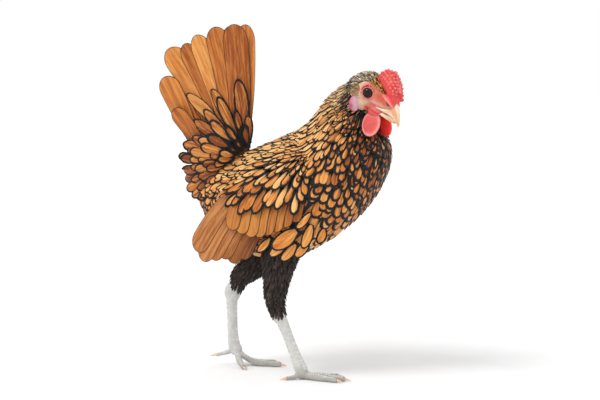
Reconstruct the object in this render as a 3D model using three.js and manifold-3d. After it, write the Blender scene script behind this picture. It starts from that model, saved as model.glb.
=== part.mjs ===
// A golden Sebright bantam, life size, walking: a still model in millimetres, +Z up, facing +X.
// Each solid reaches the outside of the plumage, and neighbours meet across a thin gap.
import * as THREE from "three";
import { mergeVertices } from "three/addons/utils/BufferGeometryUtils.js";
import Module from "manifold-3d";

const wasm = await Module();
wasm.setup();

// ---------------------------------------------------------------- driving dimensions

const GAP = 0.35; // between neighbours
const SIDES = { right: -1, left: 1 }; // the bird's right is -Y

// Trunk and neck are one loft between the line of the back and the line of breast and belly.
// A row: back x, back z, belly x, belly z, half width, sideways middle. From the rump to the throat.
const BODY_ROWS = [
  [-88, 182, -94, 156, 15, 0],
  [-68, 187, -78, 129, 29, 0],
  [-44, 196, -52, 108, 38, 0],
  [-18, 206.5, -18, 100, 43.5, 0],
  [0, 215, 14, 110.5, 46, 0],
  [13, 226, 44, 131, 46, -0.5],
  [21, 238, 66, 155, 41, -1.5],
  [28, 246.5, 80, 182, 31, -5],
  [35, 253, 82, 202, 21.5, -9],
  [42, 257, 75.5, 214.5, 16, -13],
  [48, 258, 62, 228, 13, -16],
];
const BODY_EGG = 0.14; // how much wider the body is low down than high up
const RUMP_DOME = 7;
const NECK_START = 0.62; // share of the loft where the neck begins
const NECK_PARTING = 0.006; // share left open there

// The head's own frame: x along the gape, y to its left, z up, origin between the eyes.
const HEAD_CENTRE = [70.2, -23.5, 247];
const HEAD_PITCH = 26; // degrees, beak down
const HEAD_YAW = -30; // degrees, turned to the right
// A row: x, top z, bottom z, half width
const HEAD_ROWS = [
  [-21, 6, -13, 11],
  [-14, 12.5, -16, 13.6],
  [-6, 15.2, -16.5, 13.8],
  [2, 14.6, -15.6, 12.6],
  [10, 11.6, -14.4, 10.4],
  [17, 7.2, -13.2, 8],
  [22, 3.5, -12.4, 6],
];
const HEAD_DOME = 3;
const EYE_RADIUS = 5.2;
const EYE_CENTRE = [1.5, 9.3, 1.2]; // of the left eye
const BEAK_UPPER_ROWS = [
  [17, 6.2, -8, 7.2],
  [22, 4.4, -8.6, 6],
  [28, 1, -9.2, 4.6],
  [33, -3.6, -10.2, 3.2],
  [36.6, -9, -12.6, 1.7],
];
const BEAK_LOWER_ROWS = [
  [16, -8.8, -13.2, 6.2],
  [22, -9.4, -13.6, 5],
  [28, -10, -13.4, 3.6],
  [32.5, -11, -13, 1.9],
];
const BEAK_DOME = 1.6;

// The rose comb is a low block over the forehead: x, top z, bottom z, half width
const COMB_ROWS = [
  [1, 21, 10, 6],
  [7, 25, 9, 8.2],
  [14, 25.5, 6, 9.2],
  [21, 20.5, 3, 8.6],
  [27, 12, 1, 6.5],
];
const COMB_DOME = 2.5;
// Wattles and ear lobes are thin leaves. Lean turns them in their plane, splay lifts them outwards.
const WATTLE = { centre: [14.5, 7, -21.8], high: 11, long: 9.7, thick: 1.7, lean: -24, splay: 16 };
const LOBE = { centre: [-6, 12.5, -14.2], high: 7.2, long: 4.6, thick: 2.2, lean: -18, splay: 0 };

// A folded wing's coverts are one bowed shield, from the shoulder to the rear.
// A row: upper x, z and distance out, lower x, z and distance out, half thickness
const SHIELD_ROWS = [
  [20, 202, 38, 22, 164, 47, 4.5],
  [7, 207, 29, 11, 152, 49, 6.5],
  [-9, 202, 25, -9, 145, 49, 7.5],
  [-26, 192, 29, -26, 143, 47.5, 7.5],
  [-42, 179, 32, -42, 147, 44, 6],
  [-54, 167, 34, -51, 157, 40, 4],
];
const SHIELD_DOME = 3;

// The quills of a row fan out in even steps between the first and the last.
// A place: x, distance out, z
const SECONDARIES = {
  count: 8,
  roots: [[18, 50, 168], [-32, 41, 172]],
  tips: [[-1, 50.5, 130], [-54, 44, 123]],
  half: 8,
  bow: 3.5,
};
const PRIMARIES = {
  count: 5,
  roots: [[-8, 45, 150], [-24, 41, 172]],
  tips: [[-48, 43, 101], [-84, 39, 114]],
  half: 9,
  bow: 5,
};
const QUILL_THICK = 0.75;

// The tail fans from one root, its two halves leaning apart like a roof.
const TAIL = {
  count: 8,
  root: [-56, 2, 178],
  half: 10.5,
  bow: 3,
  leftTurn: -1, // degrees by which the left half stands further forward
};
// A row, from the middle of the tail outwards: degrees from straight ahead, length, distance out
const TAIL_ROWS = [
  [88.5, 130, 3.5],
  [96, 128, 8],
  [106, 124, 14],
  [116.5, 121, 20],
  [128, 103, 25],
  [138, 82, 28],
  [148, 58, 30],
];
// The coverts round the tail's root, one level above the other.
// A row: front x, front z, rear x, rear z, half width
const TAIL_COVERT_ROWS = [
  [-47, 188, -103, 164, 22],
  [-46, 203, -110, 190, 24],
  [-49, 221, -113, 213, 20],
  [-54, 240, -107, 232, 12],
  [-62, 255, -93, 249, 4],
];
const TAIL_COVERT_DOME = 3;

// A row of a limb: x, distance out, z, half width sideways, half width fore and aft.
// A pad: x, distance out, z, radius.
// A toe: length, heading in degrees, radius, height of its end, share of it before it lands
const LEGS = {
  right: {
    thigh: [
      [-8, 26, 122, 16, 19],
      [-11, 26, 104, 14.5, 16.5],
      [-14, 25, 86, 11.5, 12.5],
      [-15.5, 24.5, 68, 9, 9.8],
      [-12.5, 24, 54, 6.4, 7.2],
    ],
    shank: [
      [-15, 24, 62, 5, 5.2],
      [-10.5, 24, 51, 4.4, 5.2],
      [-3.8, 24, 35, 3.9, 4.5],
      [2.6, 24, 19, 4, 4.8],
      [7, 24, 8.5, 4.8, 5.8],
    ],
    pad: [8, 24, 5.4, 5.6],
    toes: {
      outer: [34, -15, 3.3, 0, 0.3],
      middle: [38, -3, 3.5, 0, 0.3],
      inner: [31, 22, 3.3, 0, 0.3],
      hind: [14, -142, 2.6, 0, 0.6],
    },
  },
  left: {
    thigh: [
      [-30, 26, 122, 15, 20],
      [-36, 26, 106, 14, 17],
      [-49, 25, 89, 12, 13.5],
      [-59, 24.5, 77, 9, 10],
      [-63, 24, 66, 5.6, 6.6],
    ],
    shank: [
      [-71, 24, 77, 4.8, 5],
      [-70, 24, 60, 4.6, 5.2],
      [-69.5, 24, 42, 4, 4.7],
      [-69, 24, 27, 4.2, 4.8],
      [-67.5, 24, 16, 4.8, 5.6],
    ],
    pad: [-66, 24, 14, 5.6],
    toes: {
      outer: [35, 20, 3.3, 0, 0.55],
      middle: [41, 1, 3.5, 0, 0.55],
      inner: [23, -56, 3.3, 0, 0.9],
      hind: [17, 191, 2.5, 7, 1.5],
    },
  },
};
const TOE_TAPER = 0.38;
const TOE_KNUCKLES = 2;
const KNUCKLE = 0.07; // how much thicker a toe is at its pads
const TREAD = 0.45; // depth of the small flats under the pads
const CLAW = { length: 7.5, thick: 1.7, tip: 0.35, sink: 1.5, arch: 0.4, droop: 0.5 };
const LIMB_DOME = 3;
const TOE_DOME = 1.5;
const REACH = 400; // longer than the whole bird

// ---------------------------------------------------------------- materials

function look(colour, roughness) {
  return new THREE.MeshStandardMaterial({ color: colour, roughness, metalness: 0, flatShading: true });
}
const GOLD_PLUMAGE = look(0xc27d3a, 0.75);
const TAIL_PLUMAGE = look(0xcb7f3a, 0.7);
const DARK_PLUMAGE = look(0x3a302c, 0.85);
const NECK_PLUMAGE = look(0x8d6a42, 0.8);
const RED_SKIN = look(0xe2544c, 0.5);
const PINK_LOBE = look(0xd98a93, 0.5);
const BEAK_HORN = look(0xead0ac, 0.4);
const EYE_GLOSS = look(0x14100e, 0.05);
const SCALED_SKIN = look(0xc4c3c0, 0.55);
const CLAW_HORN = look(0xe3bd98, 0.4);

// ---------------------------------------------------------------- shape tools

const { degToRad, lerp } = THREE.MathUtils;
const vector = (x, y, z) => new THREE.Vector3(x, y, z);
const steps = (count) => Array.from({ length: count + 1 }, (_, i) => i / count);
const lerpRow = (a, b, t) => a.map((value, i) => lerp(value, b[i], t));

/** A smooth row of numbers at share t along the rows, by uniform Catmull-Rom. */
function rowAt(rows, t) {
  const last = rows.length - 1;
  const place = Math.min(Math.max(t, 0), 1) * last;
  const k = Math.min(Math.floor(place), last - 1);
  const u = place - k;
  const before = k > 0 ? rows[k - 1] : rows[0].map((v, i) => 2 * v - rows[1][i]);
  const after = k + 2 <= last ? rows[k + 2] : rows[last].map((v, i) => 2 * v - rows[last - 1][i]);
  return rows[k].map((b, i) => {
    const [a, c, d] = [before[i], rows[k + 1][i], after[i]];
    const square = (2 * a - 5 * b + 4 * c - d) * u * u;
    const cube = (3 * b - a - 3 * c + d) * u ** 3;
    return 0.5 * (2 * b + (c - a) * u + square + cube);
  });
}

/** An oval section: its centre and two half axes, both longer by grow. */
function oval(centre, up, side, grow = 0) {
  return {
    centre,
    up: up.clone().setLength(up.length() + grow),
    side: side.clone().setLength(side.length() + grow),
  };
}

/** The sections that round off an end section towards a pole, and that pole. */
function dome(end, outward, depth) {
  const out = outward.clone().setLength(depth);
  const rings = [1, 2].map((i) => {
    const turn = (i / 3) * (Math.PI / 2);
    const centre = end.centre.clone().addScaledVector(out, Math.sin(turn));
    const up = end.up.clone().multiplyScalar(Math.cos(turn));
    const side = end.side.clone().multiplyScalar(Math.cos(turn));
    return { centre, up, side };
  });
  return { rings, pole: end.centre.clone().add(out) };
}

/** Closed geometry through oval sections. Each end is flat, or a dome of the given depth. */
function loft(sections, { around, egg = 0, domes = [0, 0], grow = 0 }) {
  const rings = sections.map((s) => oval(s.centre, s.up, s.side, grow));
  const [first, second] = rings;
  const [last, beforeLast] = [rings.at(-1), rings.at(-2)];
  const poles = [first.centre, last.centre];
  if (domes[0] > 0) {
    const cap = dome(first, first.centre.clone().sub(second.centre), domes[0] + grow);
    rings.unshift(...cap.rings.reverse());
    poles[0] = cap.pole;
  }
  if (domes[1] > 0) {
    const cap = dome(last, last.centre.clone().sub(beforeLast.centre), domes[1] + grow);
    rings.push(...cap.rings);
    poles[1] = cap.pole;
  }
  const places = rings.flatMap(({ centre, up, side }) =>
    steps(around).slice(0, -1).flatMap((share) => {
      const turn = share * 2 * Math.PI;
      const p = centre.clone().addScaledVector(up, Math.cos(turn));
      return p.addScaledVector(side, Math.sin(turn) * (1 - egg * Math.cos(turn))).toArray();
    }),
  );
  const faces = [];
  const lastRing = (rings.length - 1) * around;
  const startPole = rings.length * around;
  for (let i = 0; i < around; i++) {
    const next = (i + 1) % around;
    for (let ring = 0; ring < lastRing; ring += around) {
      const [a, b] = [ring + i, ring + next];
      faces.push(a, b, b + around, a, b + around, a + around);
    }
    faces.push(startPole, next, i, startPole + 1, lastRing + i, lastRing + next);
  }
  places.push(...poles[0].toArray(), ...poles[1].toArray());
  return new THREE.BufferGeometry()
    .setAttribute("position", new THREE.BufferAttribute(new Float32Array(places), 3))
    .setIndex(faces);
}

/** A solid from closed geometry, turned inside out where its faces point in. */
function solid(geometry) {
  const bare = geometry.clone();
  bare.deleteAttribute("normal");
  bare.deleteAttribute("uv");
  const merged = mergeVertices(bare, 1e-4);
  const vertProperties = merged.attributes.position.array;
  const build = (triVerts) => new wasm.Manifold(new wasm.Mesh({ numProp: 3, vertProperties, triVerts }));
  const faces = new Uint32Array(merged.index.array);
  const made = build(faces);
  return made.volume() > 0 ? made : build(faces.reverse());
}

const join = (solids) => solids.reduce((a, b) => a.add(b));
const cut = (body, tools) => tools.reduce((a, b) => a.subtract(b), body);

const bird = new THREE.Group();

/** Adds a solid as a named mesh, leaving out crumbs that a cut has parted from it. */
function addMesh(name, body, material) {
  const whole = body.decompose().reduce((a, b) => (b.volume() > a.volume() ? b : a));
  const { numProp, numVert, vertProperties, triVerts } = whole.getMesh();
  const places = new Float32Array(numVert * 3);
  for (let i = 0; i < numVert; i++) {
    places.set(vertProperties.subarray(i * numProp, i * numProp + 3), i * 3);
  }
  const geometry = new THREE.BufferGeometry()
    .setAttribute("position", new THREE.BufferAttribute(places, 3))
    .setIndex(new THREE.BufferAttribute(new Uint32Array(triVerts), 1));
  const mesh = new THREE.Mesh(geometry, material);
  mesh.name = name;
  bird.add(mesh);
}

// ---------------------------------------------------------------- trunk

function bodySections(from, to, count) {
  return steps(count).map((share) => {
    const [backX, backZ, bellyX, bellyZ, half, middle] = rowAt(BODY_ROWS, lerp(from, to, share));
    const centre = vector((backX + bellyX) / 2, middle, (backZ + bellyZ) / 2);
    return oval(centre, vector((backX - bellyX) / 2, 0, (backZ - bellyZ) / 2), vector(0, half, 0));
  });
}

const trunkSections = bodySections(0, NECK_START, 13);
const neckSections = bodySections(NECK_START + NECK_PARTING, 1, 7);
const neckForm = { around: 18, egg: BODY_EGG };
const trunkForm = { ...neckForm, domes: [RUMP_DOME, 0] };
const bodyRoom = solid(loft([...trunkSections, ...neckSections], { ...trunkForm, grow: GAP }));
addMesh("trunk", solid(loft(trunkSections, trunkForm)), GOLD_PLUMAGE);

// ---------------------------------------------------------------- head and neck

const headPlace = new THREE.Matrix4()
  .makeTranslation(...HEAD_CENTRE)
  .multiply(new THREE.Matrix4().makeRotationZ(degToRad(HEAD_YAW)))
  .multiply(new THREE.Matrix4().makeRotationY(degToRad(HEAD_PITCH)));

/** A piece of the head from rows of x, top z, bottom z, half width. */
function headPiece(rows, count, form) {
  const sections = steps(count).map((share) => {
    const [x, top, bottom, half] = rowAt(rows, share);
    return oval(vector(x, 0, (top + bottom) / 2), vector(0, 0, (top - bottom) / 2), vector(0, half, 0));
  });
  return solid(loft(sections, form).applyMatrix4(headPlace));
}

/** A rounded leaf of bare skin at the side of the head. */
function leaf({ centre, high, long, thick, lean, splay }, side, grow = 0) {
  const ball = new THREE.SphereGeometry(1, 12, 6);
  ball.scale(long + grow, thick + grow, high + grow);
  ball.rotateY(degToRad(lean));
  ball.rotateX(degToRad(splay * side));
  ball.translate(centre[0], side * centre[1], centre[2]);
  return solid(ball.applyMatrix4(headPlace));
}

function eye(side, grow = 0) {
  const [x, out, z] = EYE_CENTRE;
  const ball = new THREE.SphereGeometry(EYE_RADIUS + grow, 10, 7);
  ball.translate(x, side * out, z);
  return solid(ball.applyMatrix4(headPlace));
}

const headForm = { around: 14, domes: [HEAD_DOME, HEAD_DOME] };
const beakForm = { around: 10, domes: [0, BEAK_DOME] };
const combForm = { around: 12, domes: [COMB_DOME, COMB_DOME] };
const bothSides = Object.values(SIDES);
const headRoom = headPiece(HEAD_ROWS, 8, { ...headForm, grow: GAP });
const upperRoom = headPiece(BEAK_UPPER_ROWS, 5, { ...beakForm, grow: GAP });
const lowerRoom = headPiece(BEAK_LOWER_ROWS, 4, { ...beakForm, grow: GAP });
const eyeRoom = bothSides.map((side) => eye(side, GAP));
const leafRoom = bothSides.flatMap((side) => [leaf(WATTLE, side, GAP), leaf(LOBE, side, GAP)]);
const beakUpper = headPiece(BEAK_UPPER_ROWS, 5, beakForm);
const beakLower = headPiece(BEAK_LOWER_ROWS, 4, beakForm);
const comb = headPiece(COMB_ROWS, 5, combForm);
const neck = solid(loft(neckSections, neckForm));

addMesh("neck", cut(neck, [headRoom, upperRoom, lowerRoom, ...eyeRoom, ...leafRoom]), NECK_PLUMAGE);
addMesh("head", cut(headPiece(HEAD_ROWS, 8, headForm), eyeRoom), NECK_PLUMAGE);
addMesh("comb", cut(comb, [headRoom, upperRoom]), RED_SKIN);
addMesh("beak_upper", cut(beakUpper, [headRoom]), BEAK_HORN);
addMesh("beak_lower", cut(beakLower, [headRoom, upperRoom]), BEAK_HORN);
for (const [name, side] of Object.entries(SIDES)) {
  const hungOn = [headRoom, upperRoom, lowerRoom];
  addMesh(`eye_${name}`, eye(side), EYE_GLOSS);
  addMesh(`wattle_${name}`, cut(leaf(WATTLE, side), hungOn), RED_SKIN);
  addMesh(`ear_lobe_${name}`, cut(leaf(LOBE, side), hungOn), PINK_LOBE);
}

// ---------------------------------------------------------------- wings

/**
 * A flat feather from root to tip, widest past its middle and round at the tip.
 * Its flat faces outward, and its shaft bows sideways.
 */
function quill(root, tip, { half, bow }, outward, grow) {
  const along = tip.clone().sub(root);
  const across = along.clone().cross(outward).normalize();
  const flat = across.clone().cross(along).normalize();
  const tipStart = 1 - half / along.length();
  const tipShares = steps(3).map((step) => lerp(tipStart, 1, Math.sin((step * Math.PI) / 2)));
  const sections = [0, 0.5, ...tipShares].map((share) => {
    const full = lerp(0.45, 1, Math.min(1, share * 2));
    const past = Math.max(0, (share - tipStart) / (1 - tipStart));
    const width = half * full * Math.sqrt(1 - 0.97 * past * past);
    const centre = root.clone().addScaledVector(along, share);
    centre.addScaledVector(across, bow * Math.sin(Math.PI * share));
    return oval(centre, flat.clone().setLength(QUILL_THICK), across.clone().setLength(width));
  });
  return solid(loft(sections, { around: 4, grow }));
}

/** Overlapping quills, joined: each lies in the surface that the tips of the whole fan span. */
function fan(count, rootAt, tipAt, form, grow = 0) {
  const quills = steps(count - 1).map((share) => {
    const [root, tip] = [rootAt(share), tipAt(share)];
    const alongFan = tipAt(share + 0.05).sub(tipAt(share - 0.05));
    return quill(root, tip, form, tip.clone().sub(root).cross(alongFan), grow);
  });
  return join(quills);
}

function wingRow({ count, roots, tips, half, bow }, side, grow = 0) {
  const along = (ends) => (share) => {
    const [x, out, z] = lerpRow(...ends, share);
    return vector(x, side * out, z);
  };
  return fan(count, along(roots), along(tips), { half, bow: side * bow }, grow);
}

function shield(side, grow = 0) {
  const sections = steps(8).map((share) => {
    const [upX, upZ, upOut, lowX, lowZ, lowOut, half] = rowAt(SHIELD_ROWS, share);
    const centre = vector((upX + lowX) / 2, (side * (upOut + lowOut)) / 2, (upZ + lowZ) / 2);
    const up = vector((upX - lowX) / 2, (side * (upOut - lowOut)) / 2, (upZ - lowZ) / 2);
    const out = up.clone().cross(vector(1, 0, 0)).setLength(half);
    return oval(centre, up, out);
  });
  return solid(loft(sections, { around: 12, domes: [SHIELD_DOME, SHIELD_DOME], grow }));
}

const primaryRoom = {};
for (const [name, side] of Object.entries(SIDES)) {
  const shieldRoom = shield(side, GAP);
  const secondaryRoom = wingRow(SECONDARIES, side, GAP);
  primaryRoom[name] = wingRow(PRIMARIES, side, GAP);
  addMesh(`wing_${name}_coverts`, cut(shield(side), [bodyRoom]), GOLD_PLUMAGE);
  addMesh(`wing_${name}_secondaries`, cut(wingRow(SECONDARIES, side), [shieldRoom, bodyRoom]), GOLD_PLUMAGE);
  const primaries = cut(wingRow(PRIMARIES, side), [secondaryRoom, shieldRoom, bodyRoom]);
  addMesh(`wing_${name}_primaries`, primaries, GOLD_PLUMAGE);
}

// ---------------------------------------------------------------- tail

const covertForm = { around: 14, domes: [TAIL_COVERT_DOME, TAIL_COVERT_DOME] };
const covertSections = steps(6).map((share) => {
  const [frontX, frontZ, rearX, rearZ, half] = rowAt(TAIL_COVERT_ROWS, share);
  const centre = vector((frontX + rearX) / 2, 0, (frontZ + rearZ) / 2);
  return oval(centre, vector((frontX - rearX) / 2, 0, (frontZ - rearZ) / 2), vector(0, half, 0));
});
const covertRoom = solid(loft(covertSections, { ...covertForm, grow: GAP }));
addMesh("tail_coverts", cut(solid(loft(covertSections, covertForm)), [bodyRoom]), GOLD_PLUMAGE);

// A thin wall of air keeps the two halves of the tail apart.
const midWall = new THREE.BoxGeometry(REACH, GAP, REACH);
midWall.translate(0, 0, REACH / 2);
const midRoom = solid(midWall);

function tailTip(share, side) {
  const [degrees, length, out] = rowAt(TAIL_ROWS, share);
  const angle = degToRad(degrees + (side === SIDES.left ? TAIL.leftTurn : 0));
  const [x, , z] = TAIL.root;
  return vector(x + length * Math.cos(angle), side * out, z + length * Math.sin(angle));
}

for (const [name, side] of Object.entries(SIDES)) {
  const [x, out, z] = TAIL.root;
  const quills = fan(TAIL.count, () => vector(x, side * out, z), (share) => tailTip(share, side), TAIL);
  addMesh(`tail_${name}`, cut(quills, [covertRoom, bodyRoom, midRoom]), TAIL_PLUMAGE);
}

// ---------------------------------------------------------------- legs

/** A limb along rows of x, distance out, z, half width sideways, half width fore and aft. */
function limb(rows, side, count, form) {
  const sections = steps(count).map((share) => {
    const [x, out, z, half, deep] = rowAt(rows, share);
    const [fromX, , fromZ] = rowAt(rows, share - 0.02);
    const [toX, , toZ] = rowAt(rows, share + 0.02);
    const fore = vector(fromZ - toZ, 0, toX - fromX);
    return oval(vector(x, side * out, z), fore.setLength(deep), vector(0, half, 0));
  });
  return solid(loft(sections, form));
}

/** A toe's centre line falls from the pad to its resting height, and its pads bulge. */
function toePoint([x, out, z], toe, side, share) {
  const [length, heading, radius, endHeight, landing] = toe;
  const slim = radius * (1 - TOE_TAPER * share);
  const rest = endHeight + slim * (1 + KNUCKLE) - TREAD;
  const fall = Math.max(0, 1 - share / landing) ** 2;
  const turn = degToRad(heading);
  const centre = vector(
    x + length * share * Math.cos(turn),
    side * out + length * share * Math.sin(turn),
    lerp(rest, z, fall),
  );
  return { centre, radius: slim * (1 + KNUCKLE * Math.cos(2 * Math.PI * TOE_KNUCKLES * share)) };
}

function toe(pad, numbers, side, grow = 0) {
  const [, heading] = numbers;
  const turn = degToRad(heading);
  const across = vector(-Math.sin(turn), Math.cos(turn), 0);
  const sections = steps(5).map((share) => {
    const { centre, radius } = toePoint(pad, numbers, side, share);
    return oval(centre, vector(0, 0, radius), across.clone().setLength(radius));
  });
  return solid(loft(sections, { around: 7, domes: [0, TOE_DOME], grow }));
}

/** A claw carries on from the end of its toe, and droops towards the ground. */
function claw(pad, numbers, side) {
  const [, heading, , endHeight] = numbers;
  const turn = degToRad(heading);
  const ahead = vector(Math.cos(turn), Math.sin(turn), 0);
  const across = vector(-Math.sin(turn), Math.cos(turn), 0);
  const { centre } = toePoint(pad, numbers, side, 1);
  const sections = steps(3).map((share) => {
    const thick = lerp(CLAW.thick, CLAW.tip, share);
    const place = centre.clone().addScaledVector(ahead, CLAW.length * share - CLAW.sink);
    const drop = (centre.z - endHeight) * CLAW.droop;
    place.z += CLAW.arch * Math.sin(Math.PI * share) - drop * share;
    return oval(place, vector(0, 0, thick), across.clone().setLength(thick * 0.8));
  });
  return solid(loft(sections, { around: 5 }));
}

// All that would reach below the floor is cut off level with it.
const ground = new THREE.BoxGeometry(REACH, REACH, REACH);
ground.translate(0, 0, -REACH / 2);
const floor = solid(ground);
const thighForm = { around: 12, domes: [0, LIMB_DOME] };
const shankForm = { around: 8, domes: [LIMB_DOME, LIMB_DOME] };
for (const [name, side] of Object.entries(SIDES)) {
  const { thigh, shank, pad, toes } = LEGS[name];
  const thighRoom = limb(thigh, side, 5, { ...thighForm, grow: GAP });
  const shankRoom = limb(shank, side, 5, { ...shankForm, grow: GAP });
  const [padX, padOut, padZ, padRadius] = pad;
  const padBall = new THREE.SphereGeometry(padRadius, 9, 6);
  padBall.translate(padX, side * padOut, padZ);
  const footSolid = join([solid(padBall), ...Object.values(toes).map((numbers) => toe(pad, numbers, side))]);
  const toeRoom = Object.values(toes).map((numbers) => toe(pad, numbers, side, GAP));
  addMesh(`thigh_${name}`, cut(limb(thigh, side, 5, thighForm), [bodyRoom, primaryRoom[name]]), DARK_PLUMAGE);
  addMesh(`shank_${name}`, cut(limb(shank, side, 5, shankForm), [thighRoom]), SCALED_SKIN);
  addMesh(`foot_${name}`, cut(footSolid, [shankRoom, floor]), SCALED_SKIN);
  for (const [toeName, numbers] of Object.entries(toes)) {
    addMesh(`claw_${name}_${toeName}`, cut(claw(pad, numbers, side), [...toeRoom, floor]), CLAW_HORN);
  }
}

// ---------------------------------------------------------------- origin

// The origin lies on the floor under the middle of the whole bird.
const extent = new THREE.Box3().setFromObject(bird);
const middle = extent.getCenter(new THREE.Vector3());
bird.position.set(-middle.x, -middle.y, -extent.min.z);

export default bird;
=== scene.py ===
import bpy
import numpy as np
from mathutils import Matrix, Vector


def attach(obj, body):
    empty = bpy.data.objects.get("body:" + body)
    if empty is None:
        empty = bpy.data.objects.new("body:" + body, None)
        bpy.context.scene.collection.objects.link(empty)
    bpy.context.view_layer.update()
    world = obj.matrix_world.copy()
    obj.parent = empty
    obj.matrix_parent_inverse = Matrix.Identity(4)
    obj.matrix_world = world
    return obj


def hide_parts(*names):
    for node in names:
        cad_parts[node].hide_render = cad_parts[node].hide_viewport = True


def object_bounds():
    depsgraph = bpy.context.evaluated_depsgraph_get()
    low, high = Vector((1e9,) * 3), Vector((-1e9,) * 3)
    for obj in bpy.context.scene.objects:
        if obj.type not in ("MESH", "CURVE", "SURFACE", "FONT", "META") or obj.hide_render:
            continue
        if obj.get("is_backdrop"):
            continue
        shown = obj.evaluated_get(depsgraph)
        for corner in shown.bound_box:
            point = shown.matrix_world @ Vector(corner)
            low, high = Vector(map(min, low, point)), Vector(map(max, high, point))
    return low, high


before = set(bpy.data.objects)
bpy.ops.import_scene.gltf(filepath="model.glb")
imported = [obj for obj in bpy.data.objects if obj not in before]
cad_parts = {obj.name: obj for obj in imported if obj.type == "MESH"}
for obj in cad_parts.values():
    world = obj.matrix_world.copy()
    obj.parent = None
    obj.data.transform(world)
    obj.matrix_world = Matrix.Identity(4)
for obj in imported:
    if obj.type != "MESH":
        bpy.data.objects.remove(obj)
cad_low, cad_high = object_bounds()

# ---------------------------------------------------------------- the room
# A pale floor under soft light from all round and a broad key light high on the left, as in a studio
# with white walls. The floor is smooth painted board.


def linear(sRGB):
    """An sRGB hex colour as linear red, green and blue with full alpha."""
    shares = np.array([int(sRGB[i : i + 2], 16) for i in (1, 3, 5)]) / 255.0
    bright = np.where(shares <= 0.04045, shares / 12.92, ((shares + 0.055) / 1.055) ** 2.4)
    return (*bright.tolist(), 1.0)


def add_node(tree, kind, inputs=(), **settings):
    """
    Adds a node. Each input is a socket's name or number with a value, an sRGB hex colour or another
    node's output.
    """
    made = tree.nodes.new(kind)
    for key, value in settings.items():
        setattr(made, key, value)
    for socket, value in dict(inputs).items():
        if isinstance(value, bpy.types.NodeSocket):
            tree.links.new(value, made.inputs[socket])
        else:
            made.inputs[socket].default_value = linear(value) if isinstance(value, str) else value
    return made


def new_material(name):
    """A material with an empty node tree, and that tree."""
    material = bpy.data.materials.new(name)
    material.use_nodes = True
    material.node_tree.nodes.clear()
    return material, material.node_tree


def object_place(tree):
    return add_node(tree, "ShaderNodeTexCoord").outputs["Object"]


def noise_node(tree, place, scale, detail=2.0):
    inputs = {"Vector": place, "Scale": scale, "Detail": detail}
    return add_node(tree, "ShaderNodeTexNoise", inputs).outputs["Fac"]


def range_node(tree, value, low, high, first=0.0, second=1.0, **settings):
    """Carries low to first and high to second, and holds both ends."""
    inputs = {"Value": value, "From Min": low, "From Max": high, "To Min": first, "To Max": second}
    return add_node(tree, "ShaderNodeMapRange", inputs, **settings).outputs[0]


def mix_node(tree, share, first, second):
    """From the first colour to the second by share."""
    inputs = {"Factor": share, "A": first, "B": second}
    return add_node(tree, "ShaderNodeMix", inputs, data_type="RGBA").outputs["Result"]


def end_material(tree, colour, rough, relief=None, others=()):
    """Ends a material in one surface. Relief is a height, a bump's strength and its depth in metres."""
    inputs = {"Base Color": colour, "Roughness": rough, **dict(others)}
    if relief:
        bump = add_node(tree, "ShaderNodeBump", zip(("Height", "Strength", "Distance"), relief))
        inputs["Normal"] = bump.outputs["Normal"]
    surface = add_node(tree, "ShaderNodeBsdfPrincipled", inputs).outputs["BSDF"]
    add_node(tree, "ShaderNodeOutputMaterial", {"Surface": surface})


FLOOR_HALF = 9.0  # metres
FLOOR_DROP = 0.0004  # metres below the soles
BOARD_GRAIN = 40.0  # per metre
BOARD_DARK, BOARD_LIGHT, BOARD_ROUGH = "#f4f4f4", "#f9f9f9", 0.9
corners = FLOOR_HALF * np.array([[-1, -1], [1, -1], [1, 1], [-1, 1]])
floor_mesh = bpy.data.meshes.new("floor")
floor_mesh.from_pydata([(x, y, -FLOOR_DROP) for x, y in corners], [], [(0, 1, 2, 3)])
floor = bpy.data.objects.new("floor", floor_mesh)
bpy.context.scene.collection.objects.link(floor)
board, tree = new_material("white_painted_board")
grain = noise_node(tree, object_place(tree), BOARD_GRAIN)
end_material(tree, mix_node(tree, grain, BOARD_DARK, BOARD_LIGHT), BOARD_ROUGH)
floor_mesh.materials.append(board)
floor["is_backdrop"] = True

WHITE_WALLS, DIM_CEILING = 1.0, 0.86  # strength of the light from all round, and from overhead
WALLS_TO, CEILING_FROM = 0.2, 0.6  # how steeply one looks up there: 0 is level and 1 overhead
world = bpy.data.worlds.new("white_studio")
world.use_nodes = True
tree = world.node_tree
tree.nodes.clear()
towards = add_node(tree, "ShaderNodeTexCoord").outputs["Generated"]
rise = add_node(tree, "ShaderNodeSeparateXYZ", {0: towards}).outputs["Z"]
glow = range_node(tree, rise, WALLS_TO, CEILING_FROM, WHITE_WALLS, DIM_CEILING)
walls = add_node(tree, "ShaderNodeBackground", {"Color": (1.0, 1.0, 1.0, 1.0), "Strength": glow})
add_node(tree, "ShaderNodeOutputWorld", {"Surface": walls.outputs["Background"]})
bpy.context.scene.world = world
bpy.context.scene.view_settings.view_transform = "Standard"

# The key light comes evenly from one side, high on the left and a little ahead, over the whole floor.
KEY_FROM = Vector((-0.9, -1.0, 1.7))
KEY_STRENGTH = 1.3
KEY_SOFT = 24.0  # degrees across
light = bpy.data.lights.new("key_light", "SUN")
light.energy = KEY_STRENGTH
light.angle = np.radians(KEY_SOFT)
key = bpy.data.objects.new("key_light", light)
key.location = KEY_FROM
key.rotation_euler = KEY_FROM.to_track_quat("Z", "Y").to_euler()
bpy.context.scene.collection.objects.link(key)

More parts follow.
